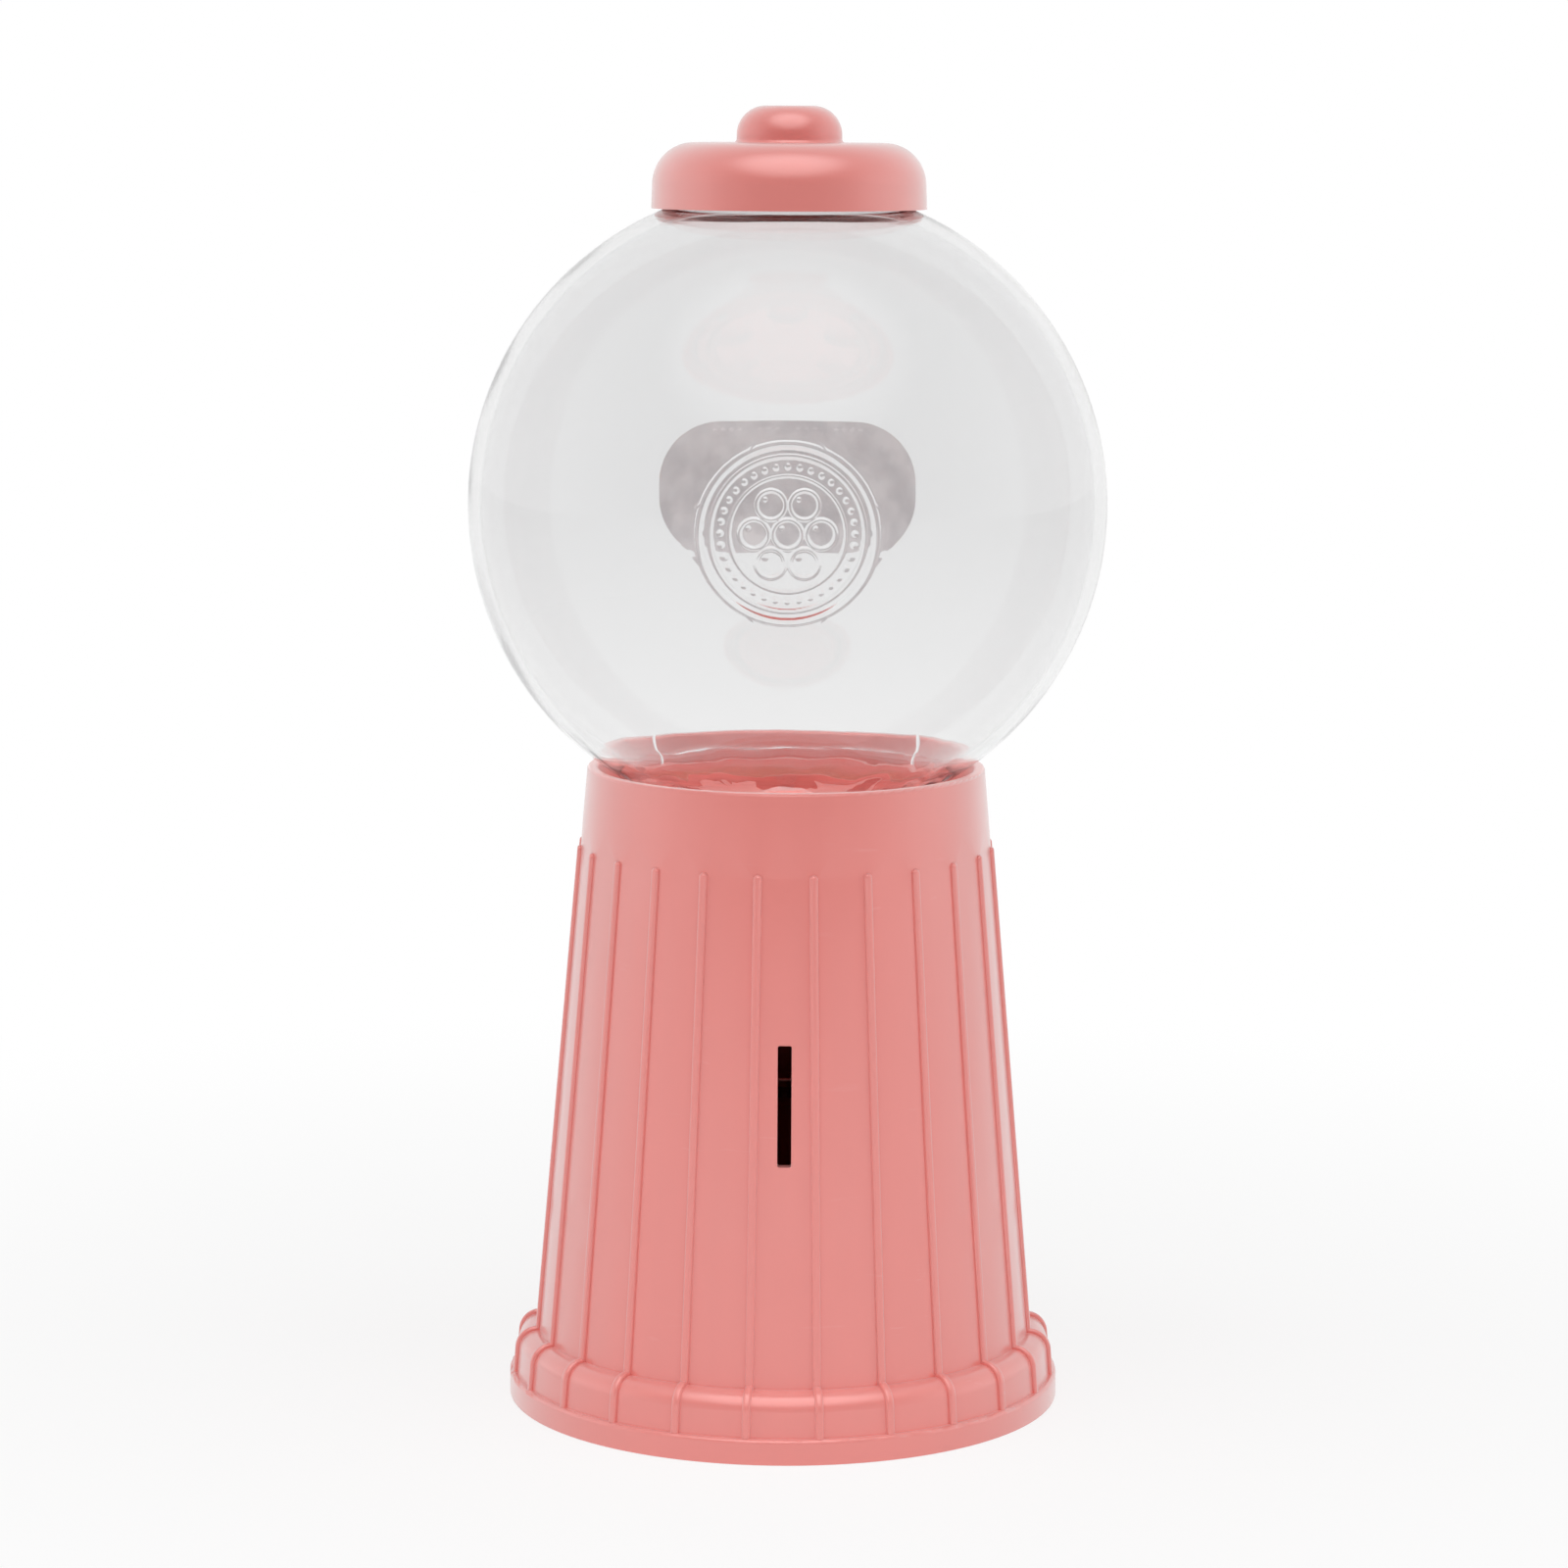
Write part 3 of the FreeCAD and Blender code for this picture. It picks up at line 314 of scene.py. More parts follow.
# %% Moulding marks
moulding, given, made = effect_group(
    "moulding_marks",
    [("Color", "NodeSocketColor", (0.8, 0.8, 0.8, 1)), ("Clouds", "NodeSocketFloat", 0.06),
     ("Streaks", "NodeSocketFloat", 0.04), ("Gloss", "NodeSocketFloat", 0.36)],
    [("Color", "NodeSocketColor"), ("Roughness", "NodeSocketFloat"), ("Height", "NodeSocketFloat")])
flow_stretch = (1, 1, 0.06)
cloud_low, cloud_high = 0.2, 0.8
gloss_spread = 0.03
spot = object_spot(moulding)
cloud = noise(moulding, spot, scale=38, detail=3)
streak = noise(moulding, spot, scale=140, detail=2, stretch=flow_stretch)
peel = noise(moulding, spot, scale=850, detail=1)


def swing(pattern, amount):
    """A pattern's swing about its middle, times one of the group's inputs."""
    return worked(moulding, "MULTIPLY", worked(moulding, "SUBTRACT", pattern, 0.5), given.outputs[amount])


shift = worked(moulding, "ADD", swing(cloud, "Clouds"), swing(streak, "Streaks"))
tone = moulding.nodes.new("ShaderNodeHueSaturation")
moulding.links.new(worked(moulding, "ADD", shift, 1.0), tone.inputs["Value"])
moulding.links.new(given.outputs["Color"], tone.inputs["Color"])
moulding.links.new(tone.outputs[0], made.inputs["Color"])
gloss_shift = ranged(moulding, cloud, cloud_low, cloud_high, -gloss_spread, gloss_spread)
moulding.links.new(worked(moulding, "ADD", given.outputs["Gloss"], gloss_shift), made.inputs["Roughness"])
moulding.links.new(peel, made.inputs["Height"])
print("group", moulding.name, [s.name for s in moulding.interface.items_tree])

# %% Handling marks
handling, given, made = effect_group(
    "handling_marks",
    [("Amount", "NodeSocketFloat", 0.5)],
    [("Scuffs", "NodeSocketFloat"), ("Smudges", "NodeSocketFloat")])
hair_stretch = (0.25, 1, 3)
hair_from, hair_full = 0.66, 0.74
rubbed_from, rubbed_full = 0.45, 0.78
spot = object_spot(handling)
hair = noise(handling, spot, scale=160, detail=3, stretch=hair_stretch)
rub = noise(handling, spot, scale=24, detail=4)
hairs = ranged(handling, hair, hair_from, hair_full, 0, 1)
areas = ranged(handling, rub, rubbed_from, rubbed_full, 0, 1, smooth=True)
for label, marks in (("Scuffs", worked(handling, "MULTIPLY", hairs, areas)), ("Smudges", areas)):
    handling.links.new(worked(handling, "MULTIPLY", marks, given.outputs["Amount"]), made.inputs[label])
print("group", handling.name, [s.name for s in handling.interface.items_tree])

# %% [markdown]
# ## Moulded plastics
# The housing, the lid and the dispenser are one coral pink, semi-glossy and a little cloudy. The chute, its
# hood and flap and the underside come from plainer moulds, so they are the same pink without the gloss. The
# gears and bearings inside are the milky plastic that such wheels are usually cut from. All three finishes
# place the same two groups with their own values: clouds and streaks go to the colour, rubbed patches to the
# roughness, and the fine peel to a Bump node.

# %% Helpers for finishes
def placed(tree, group, values):
    """A shared group, placed in a finish with its own values; returns its node."""
    node = tree.nodes.new("ShaderNodeGroup")
    node.node_tree = group
    for label, value in values.items():
        node.inputs[label].default_value = value
    return node


def mixed(tree, factor, a, b):
    """Mix of two colours, each written out or an output, by a factor; returns its output."""
    node = tree.nodes.new("ShaderNodeMix")
    node.data_type = "RGBA"
    for label, value in (("Factor", factor), ("A", a), ("B", b)):
        feed(tree, node.inputs[label], value)
    return node.outputs["Result"]


def bumped(tree, height, strength, distance):
    """Normal of a surface with a fine relief, by a Bump node; returns its output."""
    node = tree.nodes.new("ShaderNodeBump")
    node.inputs["Strength"].default_value = strength
    node.inputs["Distance"].default_value = distance
    tree.links.new(height, node.inputs["Height"])
    return node.outputs[0]


print("helpers for finishes ready")

# %% Finish of a moulded plastic
peel_depth = 0.00006
scuff_whitening = 0.25
smudge_roughness = 0.12


def moulded_plastic(name, color, clouds, streaks, gloss, wear, sheen, coat=1.0):
    """Plastic finish from the two shared groups."""
    finish, tree, shader = new_finish(name)
    marks = placed(tree, moulding, {"Color": (*color, 1), "Clouds": clouds, "Streaks": streaks,
                                    "Gloss": gloss})
    hands = placed(tree, handling, {"Amount": wear})
    whitened = (*[c * (1 - scuff_whitening) + scuff_whitening for c in color], 1)
    rubbed_color = mixed(tree, hands.outputs["Scuffs"], marks.outputs["Color"], whitened)
    tree.links.new(rubbed_color, shader.inputs["Base Color"])
    smear = worked(tree, "MULTIPLY", hands.outputs["Smudges"], smudge_roughness)
    tree.links.new(worked(tree, "ADD", marks.outputs["Roughness"], smear), shader.inputs["Roughness"])
    peel_normal = bumped(tree, marks.outputs["Height"], strength=0.25, distance=peel_depth)
    tree.links.new(peel_normal, shader.inputs["Normal"])
    shader.inputs["IOR"].default_value = 1.5
    shader.inputs["Sheen Weight"].default_value = sheen
    shader.inputs["Sheen Roughness"].default_value = 0.5
    shader.inputs["Coat Weight"].default_value = coat
    shader.inputs["Coat Roughness"].default_value = 0.2
    shader.inputs["Coat IOR"].default_value = 1.8
    return finish


coral_color = (0.765, 0.19, 0.163)
milky_color = (0.72, 0.70, 0.62)
coral = moulded_plastic("coral_plastic", coral_color,
                        clouds=0.04, streaks=0.04, gloss=0.36, wear=0.25, sheen=0.5)
satin = moulded_plastic("coral_satin", coral_color,
                        clouds=0.04, streaks=0.04, gloss=0.6, wear=0.4, sheen=0.2, coat=0.0)
milky = moulded_plastic("milky_plastic", milky_color,
                        clouds=0.05, streaks=0.03, gloss=0.42, wear=0.3, sheen=0.1)
print("plastics", coral.name, satin.name, milky.name)

# %% Give the plastics to their nodes
def dress(finish, names):
    """Put one finish on frame nodes."""
    for name in names:
        nodes[name].data.materials.clear()
        nodes[name].data.materials.append(finish)


coral_nodes = ["base_shell", "front_panel", "lid", "hopper", "ball_guard", "dispensing_wheel", "crank_knob"]
satin_nodes = ["chute", "chute_hood", "chute_flap", "base_cover", "coin_door"]
milky_nodes = ["wheel_bush", "crown_gear", "pinion", "shaft_bracket", "front_bush"]
dress(coral, coral_nodes)
dress(satin, satin_nodes)
dress(milky, milky_nodes)
print("coral", len(coral_nodes), "satin", len(satin_nodes), "milky", len(milky_nodes))

# %% [markdown]
# ## Zinc-plated steel
# The shaft, the hinge pin and the screws are steel with a thin zinc plate, which is bright but not mirror
# smooth: it has a fine crystalline mottle and faint rubbed lines. A metallic Principled shader with mottled
# roughness gives that, and the handling group draws the rubbed lines.

# %% Finish of the plated steel
dark_zinc, bright_zinc = (0.46, 0.46, 0.48, 1), (0.62, 0.63, 0.66, 1)
smooth_zinc, rough_zinc = 0.3, 0.44
rub_roughness = 0.2
zinc, tree, shader = new_finish("zinc_plated_steel")
shader.inputs["Metallic"].default_value = 1.0
crystal = noise(tree, object_spot(tree), scale=900, detail=3)
tree.links.new(mixed(tree, crystal, dark_zinc, bright_zinc), shader.inputs["Base Color"])
hands = placed(tree, handling, {"Amount": 0.8})
rubbed = worked(tree, "MULTIPLY", hands.outputs["Scuffs"], rub_roughness)
mottle = ranged(tree, crystal, noise_low, noise_high, smooth_zinc, rough_zinc)
tree.links.new(worked(tree, "ADD", mottle, rubbed), shader.inputs["Roughness"])
steel_nodes = ["crank_shaft", "flap_pin", "wheel_screw", "floor_screws"]
dress(zinc, steel_nodes)
print("steel", steel_nodes)

# %% [markdown]
# ## Modelling by hand, in code
# By hand one would click a face and press a key. In code, the clicking becomes a test of each face or edge:
# where its middle is and which way it faces. Everything is deselected first, because an operator acts on
# all that is selected.

# %% Helpers for modelling
def start_piece(name):
    """The active object, just added or joined, becomes a named piece."""
    piece = bpy.context.object
    piece.name = name
    piece.data.name = name
    return piece


def pick(piece, kind, test):
    """Select in edit mode the faces (test of middle, normal) or edges (test of two ends) of a piece."""
    if piece.mode != "EDIT":
        bpy.ops.object.mode_set(mode="EDIT")
    bpy.ops.mesh.select_mode(type=kind)
    bpy.ops.mesh.select_all(action="DESELECT")
    bpy.ops.object.mode_set(mode="OBJECT")
    mesh = piece.data
    count = 0
    if kind == "FACE":
        for face in mesh.polygons:
            face.select = bool(test(face.center, face.normal))
            count += face.select
    else:
        for edge in mesh.edges:
            a, b = (mesh.vertices[i].co for i in edge.vertices)
            edge.select = bool(test(a, b))
            count += edge.select
    bpy.ops.object.mode_set(mode="EDIT")
    return count


def extrude(offset):
    """Extrude what is selected and move it."""
    bpy.ops.mesh.extrude_region_move(TRANSFORM_OT_translate={"value": offset})


def round_edges(piece, test, offset, steps=4):
    """Round the edges of a piece that pass a test."""
    pick(piece, "EDGE", test)
    bpy.ops.mesh.bevel(offset=offset, segments=steps, affect="EDGES")


def merge_and_turn_out(threshold):
    """In edit mode, merge points closer than a threshold and turn all faces outwards."""
    bpy.ops.mesh.select_all(action="SELECT")
    bpy.ops.mesh.remove_doubles(threshold=threshold)
    bpy.ops.mesh.normals_make_consistent(inside=False)
    bpy.ops.object.mode_set(mode="OBJECT")


def put_place_in_mesh():
    """Put the place, turn and scale of the selected objects into their meshes."""
    bpy.ops.object.transform_apply(location=True, rotation=True, scale=True)


def finished(piece, sharp_above):
    """Put a piece's place into its mesh and shade it smooth, with sharp edges above an angle in degrees."""
    put_place_in_mesh()
    bpy.ops.object.shade_smooth_by_angle(angle=math.radians(sharp_above))
    piece.data.calc_loop_triangles()
    print(piece.name, len(piece.data.loop_triangles), "triangles")


print("helpers for modelling ready")

# %% [markdown]
# ## Glass bowl
# The globe is a moulded glass ball with a short neck on top and a foot below, 3 mm thick. It could be spun
# from a drawn profile; here it starts as a ball, because the medallion needs square faces on its side. The
# ball is cut off at the neck and at the foot, the two open edges are drawn out into short tubes, and a
# Solidify modifier gives the wall.

# %% Sizes of the bowl
globe_low, globe_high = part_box("globe")
globe_radius = globe_high.x
foot_radius = 0.03854
foot_length = 0.006
neck_radius = 0.0285
glass_wall = 0.003
shoulder_round = 0.001
neck_lip_round, foot_lip_round = 0.0009, 0.001
foot_drop = math.sqrt(globe_radius ** 2 - foot_radius ** 2)
neck_rise = math.sqrt(globe_radius ** 2 - neck_radius ** 2)
globe_middle = Vector((0, 0, globe_low.z + foot_length + foot_drop))
neck_top, foot_end = globe_high.z - globe_middle.z, globe_low.z - globe_middle.z
print("globe", round(2 * globe_radius, 4), "m across, middle at", round(globe_middle.z, 4))

# %% Ball, cut at the neck and the foot
ball_segments, ball_rings = 192, 88
same_place = 1e-5
bpy.ops.object.select_all(action="DESELECT")
bpy.ops.mesh.primitive_uv_sphere_add(segments=ball_segments, ring_count=ball_rings, radius=globe_radius,
                                     location=globe_middle)
bowl = start_piece("globe_bowl")
bpy.ops.object.mode_set(mode="EDIT")
bpy.ops.mesh.select_all(action="SELECT")
bpy.ops.mesh.bisect(plane_co=(0, 0, globe_middle.z + neck_rise), plane_no=(0, 0, 1), clear_outer=True)
bpy.ops.mesh.select_all(action="SELECT")
bpy.ops.mesh.bisect(plane_co=(0, 0, globe_middle.z - foot_drop), plane_no=(0, 0, 1), clear_inner=True)


def ring_edges(height):
    """Test for edges that run round the bowl at a height of its own mesh, and not across its wall."""
    return lambda a, b: (abs(a.z - height) < same_place and abs(b.z - height) < same_place
                         and abs(math.hypot(a.x, a.y) - math.hypot(b.x, b.y)) < same_place)


pick(bowl, "EDGE", ring_edges(neck_rise))
extrude((0, 0, neck_top - neck_rise))
pick(bowl, "EDGE", ring_edges(-foot_drop))
extrude((0, 0, -foot_length))
round_edges(bowl, ring_edges(neck_rise), shoulder_round)
round_edges(bowl, ring_edges(-foot_drop), shoulder_round)
merge_and_turn_out(threshold=1e-6)
print("outer wall", len(bowl.data.polygons), "faces")

# %% Wall and rounded lips
wall = bowl.modifiers.new("wall", "SOLIDIFY")
wall.thickness = glass_wall
wall.offset = -1
wall.use_even_offset = True
bpy.ops.object.modifier_apply(modifier=wall.name)
round_edges(bowl, ring_edges(neck_top), neck_lip_round)
round_edges(bowl, ring_edges(foot_end), foot_lip_round)
bpy.ops.object.mode_set(mode="OBJECT")
print("walled bowl", len(bowl.data.polygons), "faces")

# %% [markdown]
# ## Raised medallion
# On the coin-slot side the glass carries a round medallion: two raised rings and a raised drawing inside
# them. It stands less than a millimetre proud, so a mould-maker would cut it into the mould as a height map.
# The faces of that patch are divided finely, cast back onto the ball, and lifted by a Displace modifier
# whose strength at each point is a vertex weight: the height of the drawing there. The drawing is a plain
# rosette of seven gumballs in a ring of beads. First a shallow dish is sunk inside the outer ring, as a coin
# has one, so that the middle of the drawing doesn't stand out beyond the ball.

# %% Helpers for relief
def weigh(piece, name, points, weight):
    """Vertex group with a weight worked out from each point's place; a point of no weight stays out."""
    group = piece.vertex_groups.new(name=name)
    for index in points:
        share = weight(piece.data.vertices[index].co)
        if share > 0:
            group.add([index], share, "REPLACE")
    return group


def displace(piece, name, group, strength, texture=None):
    """Move a piece's points along their normals by a group's weights, or to and fro by a texture too."""
    push = piece.modifiers.new(name, "DISPLACE")
    push.direction = "NORMAL"
    push.mid_level = 0.5 if texture else 0.0
    push.strength = strength
    push.vertex_group = group.name
    if texture:
        push.texture = texture
        push.texture_coords = "LOCAL"
    bpy.ops.object.modifier_apply(modifier=push.name)


print("helpers for relief ready")

# %% Fine patch for the medallion
medal_reach = 0.0222
patch_margin = 0.004
fine_cuts = 11


def on_patch(middle, normal):
    return normal.y < 0 and middle.y < 0 and math.hypot(middle.x, middle.z) < medal_reach


patch_faces = pick(bowl, "FACE", on_patch)
bpy.ops.mesh.subdivide(number_cuts=fine_cuts, smoothness=0)
bpy.ops.object.mode_set(mode="OBJECT")
middle_of_wall = globe_radius - glass_wall / 2
patch_points = [v.index for v in bowl.data.vertices
                if v.co.y < 0 and v.co.length > middle_of_wall
                and math.hypot(v.co.x, v.co.z) < medal_reach + patch_margin]
patch = weigh(bowl, "patch", patch_points, lambda at: 1.0)
ball = bowl.modifiers.new("ball", "CAST")
ball.cast_type = "SPHERE"
ball.factor = 1.0
ball.radius = 0.0
ball.size = globe_radius
ball.use_radius_as_size = False
ball.vertex_group = patch.name
bpy.ops.object.modifier_apply(modifier=ball.name)
print("patch", patch_faces, "faces divided,", len(patch_points), "points")

# %% Dish of the medallion
dish_reach = 0.0195
dish_depth = 0.0006
dish = weigh(bowl, "dish", patch_points, lambda at: 1 - (at.x ** 2 + at.z ** 2) / dish_reach ** 2)
displace(bowl, "sink", dish, -dish_depth)
print("dish", dish_depth * 1000, "mm deep")

# %% Drawing of the medallion
relief_height = 0.00045
# Each round ridge has a radius, a half width and a height; heights are shares of the whole relief.
medal_rings = ((0.0202, 0.00095, 1.0), (0.0176, 0.0006, 0.6), (0.0132, 0.0004, 0.45))
bead_count = 36
bead_ring, bead_half, bead_height = 0.0153, 0.00075, 0.6
ball_ring, ball_half, ball_height = 0.0033, 0.0005, 0.7
glint_shift, glint_half, glint_height = 0.0013, 0.0006, 0.5
ball_spread = 0.0076
ball_turns = [k * math.pi / 3 for k in range(6)]
ball_places = [(0.0, 0.0)] + [(ball_spread * math.cos(t), ball_spread * math.sin(t)) for t in ball_turns]


def ridge(distance, half_width, height):
    """Height of a rounded ridge at a distance from its line."""
    t = abs(distance) / half_width
    return height * math.sqrt(1 - t * t) if t < 1 else 0.0


def rosette(at):
    """Height of the drawing at a point of the bowl, as a share of the whole relief."""
    r = math.hypot(at.x, at.z)
    heights = [ridge(r - ring, half, height) for ring, half, height in medal_rings]
    bead_turn = 2 * math.pi / bead_count
    off = (math.atan2(at.z, at.x) + bead_turn / 2) % bead_turn - bead_turn / 2
    heights.append(ridge(math.hypot(r - bead_ring, bead_ring * off), bead_half, bead_height))
    for x, z in ball_places:
        from_ball = math.hypot(at.x - x, at.z - z)
        from_glint = math.hypot(at.x - x + glint_shift, at.z - z - glint_shift)
        heights.append(ridge(from_ball - ball_ring, ball_half, ball_height))
        heights.append(ridge(from_glint, glint_half, glint_height))
    return max(heights)


displace(bowl, "lift", weigh(bowl, "relief", patch_points, rosette), relief_height)
print("medallion stands", relief_height * 1000, "mm proud")

# %% [markdown]
# ## Uneven glass near the foot
# Pressed and blown glass isn't even: where the wall met the cold foot of the mould, the inside sets in
# shallow waves. They are why the rim of the base looks wavy through the bottom of the globe. A last
# Displace, with a soft clouds texture and weights that fade upward, pushes only the inner wall.

# %% Waves of the inner wall
wave_reach = 0.02
wave_height = 0.0003
wave_length = 0.006
wave_top = wave_reach - foot_drop
inner_share = 0.7
inner_from = globe_radius - glass_wall * inner_share


def wave_weight(at):
    """Weight of the waves at a point: full at the foot, fading upward, none on the outer wall."""
    return min(1.0, (wave_top - at.z) / wave_reach) if at.length < inner_from else 0.0


waves = weigh(bowl, "waves", range(len(bowl.data.vertices)), wave_weight)
swirl = bpy.data.textures.new("glass_waves", "CLOUDS")
swirl.noise_scale = wave_length
swirl.noise_depth = 1
displace(bowl, "sway", waves, wave_height, texture=swirl)
finished(bowl, sharp_above=50)
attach(bowl, "globe")
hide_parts("globe")

# %% [markdown]
# ## Finish of the glass
# The glass is clear with a slight grey cast, so the white behind it comes through as a soft silver. In a
# Principled shader that is full transmission, an index of 1.5, and a base colour a little under white:
# lighter towards the foot, a painted reflection of the white floor in the lower glass, and
# olive at the very edge of the foot, where one looks along the wall. Hands leave faint smears, so the
# handling group raises the roughness by a hair in patches, and the long waves of blown glass are a very
# weak bump. Bent light is slow to find, so lamp rays and soft light go straight through, by a Light Path
# node, and what stands inside the globe is lit as well as what stands outside.

# %% Clear glass
# The lighter colour at the foot is a painted reflection of the white floor.
painted_light_foot_cast, grey_cast = (0.94, 0.94, 0.94, 1), (0.86, 0.86, 0.862, 1)
olive_edge = (0.80, 0.74, 0.60, 1)
olive_until, olive_gone = globe_low.z + 0.001, globe_low.z + 0.003
smear_roughness = 0.02
glass, tree, shader = new_finish("clear_glass")
shader.inputs["Transmission Weight"].default_value = 1.0
shader.inputs["IOR"].default_value = 1.5
hands = placed(tree, handling, {"Amount": 1.0})
smears = worked(tree, "MULTIPLY", hands.outputs["Smudges"], smear_roughness)
tree.links.new(smears, shader.inputs["Roughness"])
spot = object_spot(tree)
split = tree.nodes.new("ShaderNodeSeparateXYZ")
tree.links.new(spot, split.inputs[0])
height = split.outputs["Z"]
# Painted reflection: the base colour turns lighter from the middle down to the foot.
cast = mixed(tree, ranged(tree, height, globe_low.z, globe_middle.z, 0.0, 1.0), painted_light_foot_cast, grey_cast)
cast_painted_lighter_and_edge = mixed(tree, ranged(tree, height, olive_until, olive_gone, 0.0, 1.0), olive_edge, cast)
tree.links.new(cast_painted_lighter_and_edge, shader.inputs["Base Color"])
swell = noise(tree, spot, scale=30, detail=1)
tree.links.new(bumped(tree, swell, strength=0.3, distance=0.0004), shader.inputs["Normal"])
print("glass cast", grey_cast[:3])

# %% Straight way through the glass
path = tree.nodes.new("ShaderNodeLightPath")
open_way = tree.nodes.new("ShaderNodeBsdfTransparent")
open_way.inputs["Color"].default_value = (0.96, 0.96, 0.96, 1)
surface = shader.outputs[0]
for ray in ("Is Diffuse Ray", "Is Shadow Ray"):
    surface = chosen(tree, path.outputs[ray], surface, open_way.outputs[0])
tree.links.new(surface, tree.nodes["Material Output"].inputs["Surface"])
bowl.data.materials.append(glass)
print("glass", len(tree.nodes), "nodes")

# %% [markdown]
# ## Label
# A label is stuck on the far side of the globe. Through the glass one sees its grey back. It is a sheet, so
# it starts as a plane with its four corners rounded; cuts across it give it enough points to bend, a
# Shrinkwrap modifier lays it onto the ball, and Solidify gives the paper its thickness.

# %% Label sheet
label_low, label_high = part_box("globe_label")
label_middle = (label_low + label_high) / 2
label_width = label_high.x - label_low.x
label_height = label_high.z - label_low.z
label_corner = 0.016
corner_steps = 12
held_off = 0.004
cut_step = 0.002
bpy.ops.object.select_all(action="DESELECT")
bpy.ops.mesh.primitive_plane_add(size=1.0, location=(0, globe_radius + held_off, label_middle.z),
                                 rotation=(-math.pi / 2, 0, 0))
sticker = start_piece("globe_sticker")
sticker.scale = (label_width, label_height, 1)
put_place_in_mesh()
bpy.ops.object.mode_set(mode="EDIT")
bpy.ops.mesh.select_mode(type="VERT")
bpy.ops.mesh.select_all(action="SELECT")
bpy.ops.mesh.bevel(offset=label_corner, segments=corner_steps, affect="VERTICES")
for axis, span, middle in ((0, label_width, 0.0), (2, label_height, label_middle.z)):
    for k in range(1, int(span / cut_step)):
        where, facing = [0, 0, 0], [0, 0, 0]
        where[axis] = middle - span / 2 + k * cut_step
        facing[axis] = 1
        bpy.ops.mesh.select_all(action="SELECT")
        bpy.ops.mesh.bisect(plane_co=where, plane_no=facing)
bpy.ops.object.mode_set(mode="OBJECT")
print("label", round(label_width, 4), "x", round(label_height, 4), len(sticker.data.polygons), "faces")

# %% Lay the label on the ball
glue_gap = 0.00004
paper_thickness = 0.00015
lay = sticker.modifiers.new("lay", "SHRINKWRAP")
lay.target = bowl
lay.wrap_method = "PROJECT"
lay.use_project_y = True
lay.use_negative_direction = True
lay.use_positive_direction = False
lay.wrap_mode = "ON_SURFACE"
lay.offset = glue_gap
bpy.ops.object.modifier_apply(modifier=lay.name)
sheet = sticker.modifiers.new("sheet", "SOLIDIFY")
sheet.thickness = paper_thickness
sheet.offset = 1
bpy.ops.object.modifier_apply(modifier=sheet.name)
finished(sticker, sharp_above=40)
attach(sticker, "globe")
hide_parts("globe_label")

# %% [markdown]
# ## Finish of the label
# The back of the paper is grey and mottled, where the glue has wetted it unevenly. The printed front is a
# pale field with rows of soft coloured dots, like gumballs. Two materials share the piece, and the faces
# that look outward take the second.

# %% Back of the label
wet_paper, dry_paper = (0.74, 0.73, 0.75, 1), (1.0, 0.995, 1.0, 1)
wet_until, dry_from = 0.35, 0.65
wet_roughness, dry_roughness = 0.35, 0.7
back, tree, shader = new_finish("label_back")
spot = object_spot(tree)
glue = noise(tree, spot, scale=110, detail=4)
fibre = noise(tree, spot, scale=900, detail=2)
dryness = ranged(tree, glue, wet_until, dry_from, 0, 1)
tree.links.new(mixed(tree, dryness, wet_paper, dry_paper), shader.inputs["Base Color"])
roughness = ranged(tree, glue, noise_low, noise_high, wet_roughness, dry_roughness)
tree.links.new(roughness, shader.inputs["Roughness"])
tree.links.new(bumped(tree, fibre, strength=0.3, distance=0.00004), shader.inputs["Normal"])
sticker.data.materials.append(back)
print("label back", len(tree.nodes), "nodes")

# %% Front of the label
dot_pitch = 0.008
dot_outside, dot_inside = 0.30, 0.27
field_color, dot_base_color = (0.86, 0.83, 0.80, 1), (0.85, 0.42, 0.42, 1)
dot_variety = 0.45
smooth_print, rough_print = 0.38, 0.52
front, tree, shader = new_finish("label_front")
spot = object_spot(tree)
grid = tree.nodes.new("ShaderNodeMapping")
grid.inputs["Location"].default_value = (dot_pitch / 2, 0, -label_middle.z + dot_pitch / 2)
grid.inputs["Scale"].default_value = (1, 0, 1)
tree.links.new(spot, grid.inputs["Vector"])
dots = tree.nodes.new("ShaderNodeTexVoronoi")
dots.inputs["Scale"].default_value = 1 / dot_pitch
dots.inputs["Randomness"].default_value = 0.0
tree.links.new(grid.outputs[0], dots.inputs["Vector"])
pastel = mixed(tree, dot_variety, dot_base_color, dots.outputs["Color"])
inked = ranged(tree, dots.outputs["Distance"], dot_outside, dot_inside, 0, 1)
tree.links.new(mixed(tree, inked, field_color, pastel), shader.inputs["Base Color"])
gloss = noise(tree, spot, scale=300, detail=2)
roughness = ranged(tree, gloss, noise_low, noise_high, smooth_print, rough_print)
tree.links.new(roughness, shader.inputs["Roughness"])
sticker.data.materials.append(front)

outward = 0
for face in sticker.data.polygons:
    facing_out = face.normal.dot(face.center - globe_middle) > 0
    face.material_index = 1 if facing_out else 0
    outward += facing_out
print("label faces outward", outward, "of", len(sticker.data.polygons))

# %% [markdown]
# ## Cross-recess screws
# Small pan-head screws hold the hopper, the underside and the handle. A head could be a plain disc, but the
# cross recess is what one recognises, so it is modelled: the rim of a short cylinder is rounded, its top is
# cut into strips, the strips that form a cross are pushed in and tapered, and the shank is drawn out below.
# One screw is modelled at the origin; every screw is a copy with its own mesh, turned and set in its place.

# %% One screw
head_sides = 32
# Shares of the head's height, of its radius and of the shank's length.
rim_round, recess_depth = 0.42, 0.6
arm_reach, arm_half_width = 0.56, 0.15
point_share = 0.15
recess_taper, point_taper = 0.55, 0.5
touching = 1e-6
square_on = 0.99


def taper(share):
    """Shrink what is selected towards the screw's axis."""
    bpy.ops.transform.resize(value=(share, share, 1), center_override=(0, 0, 0))


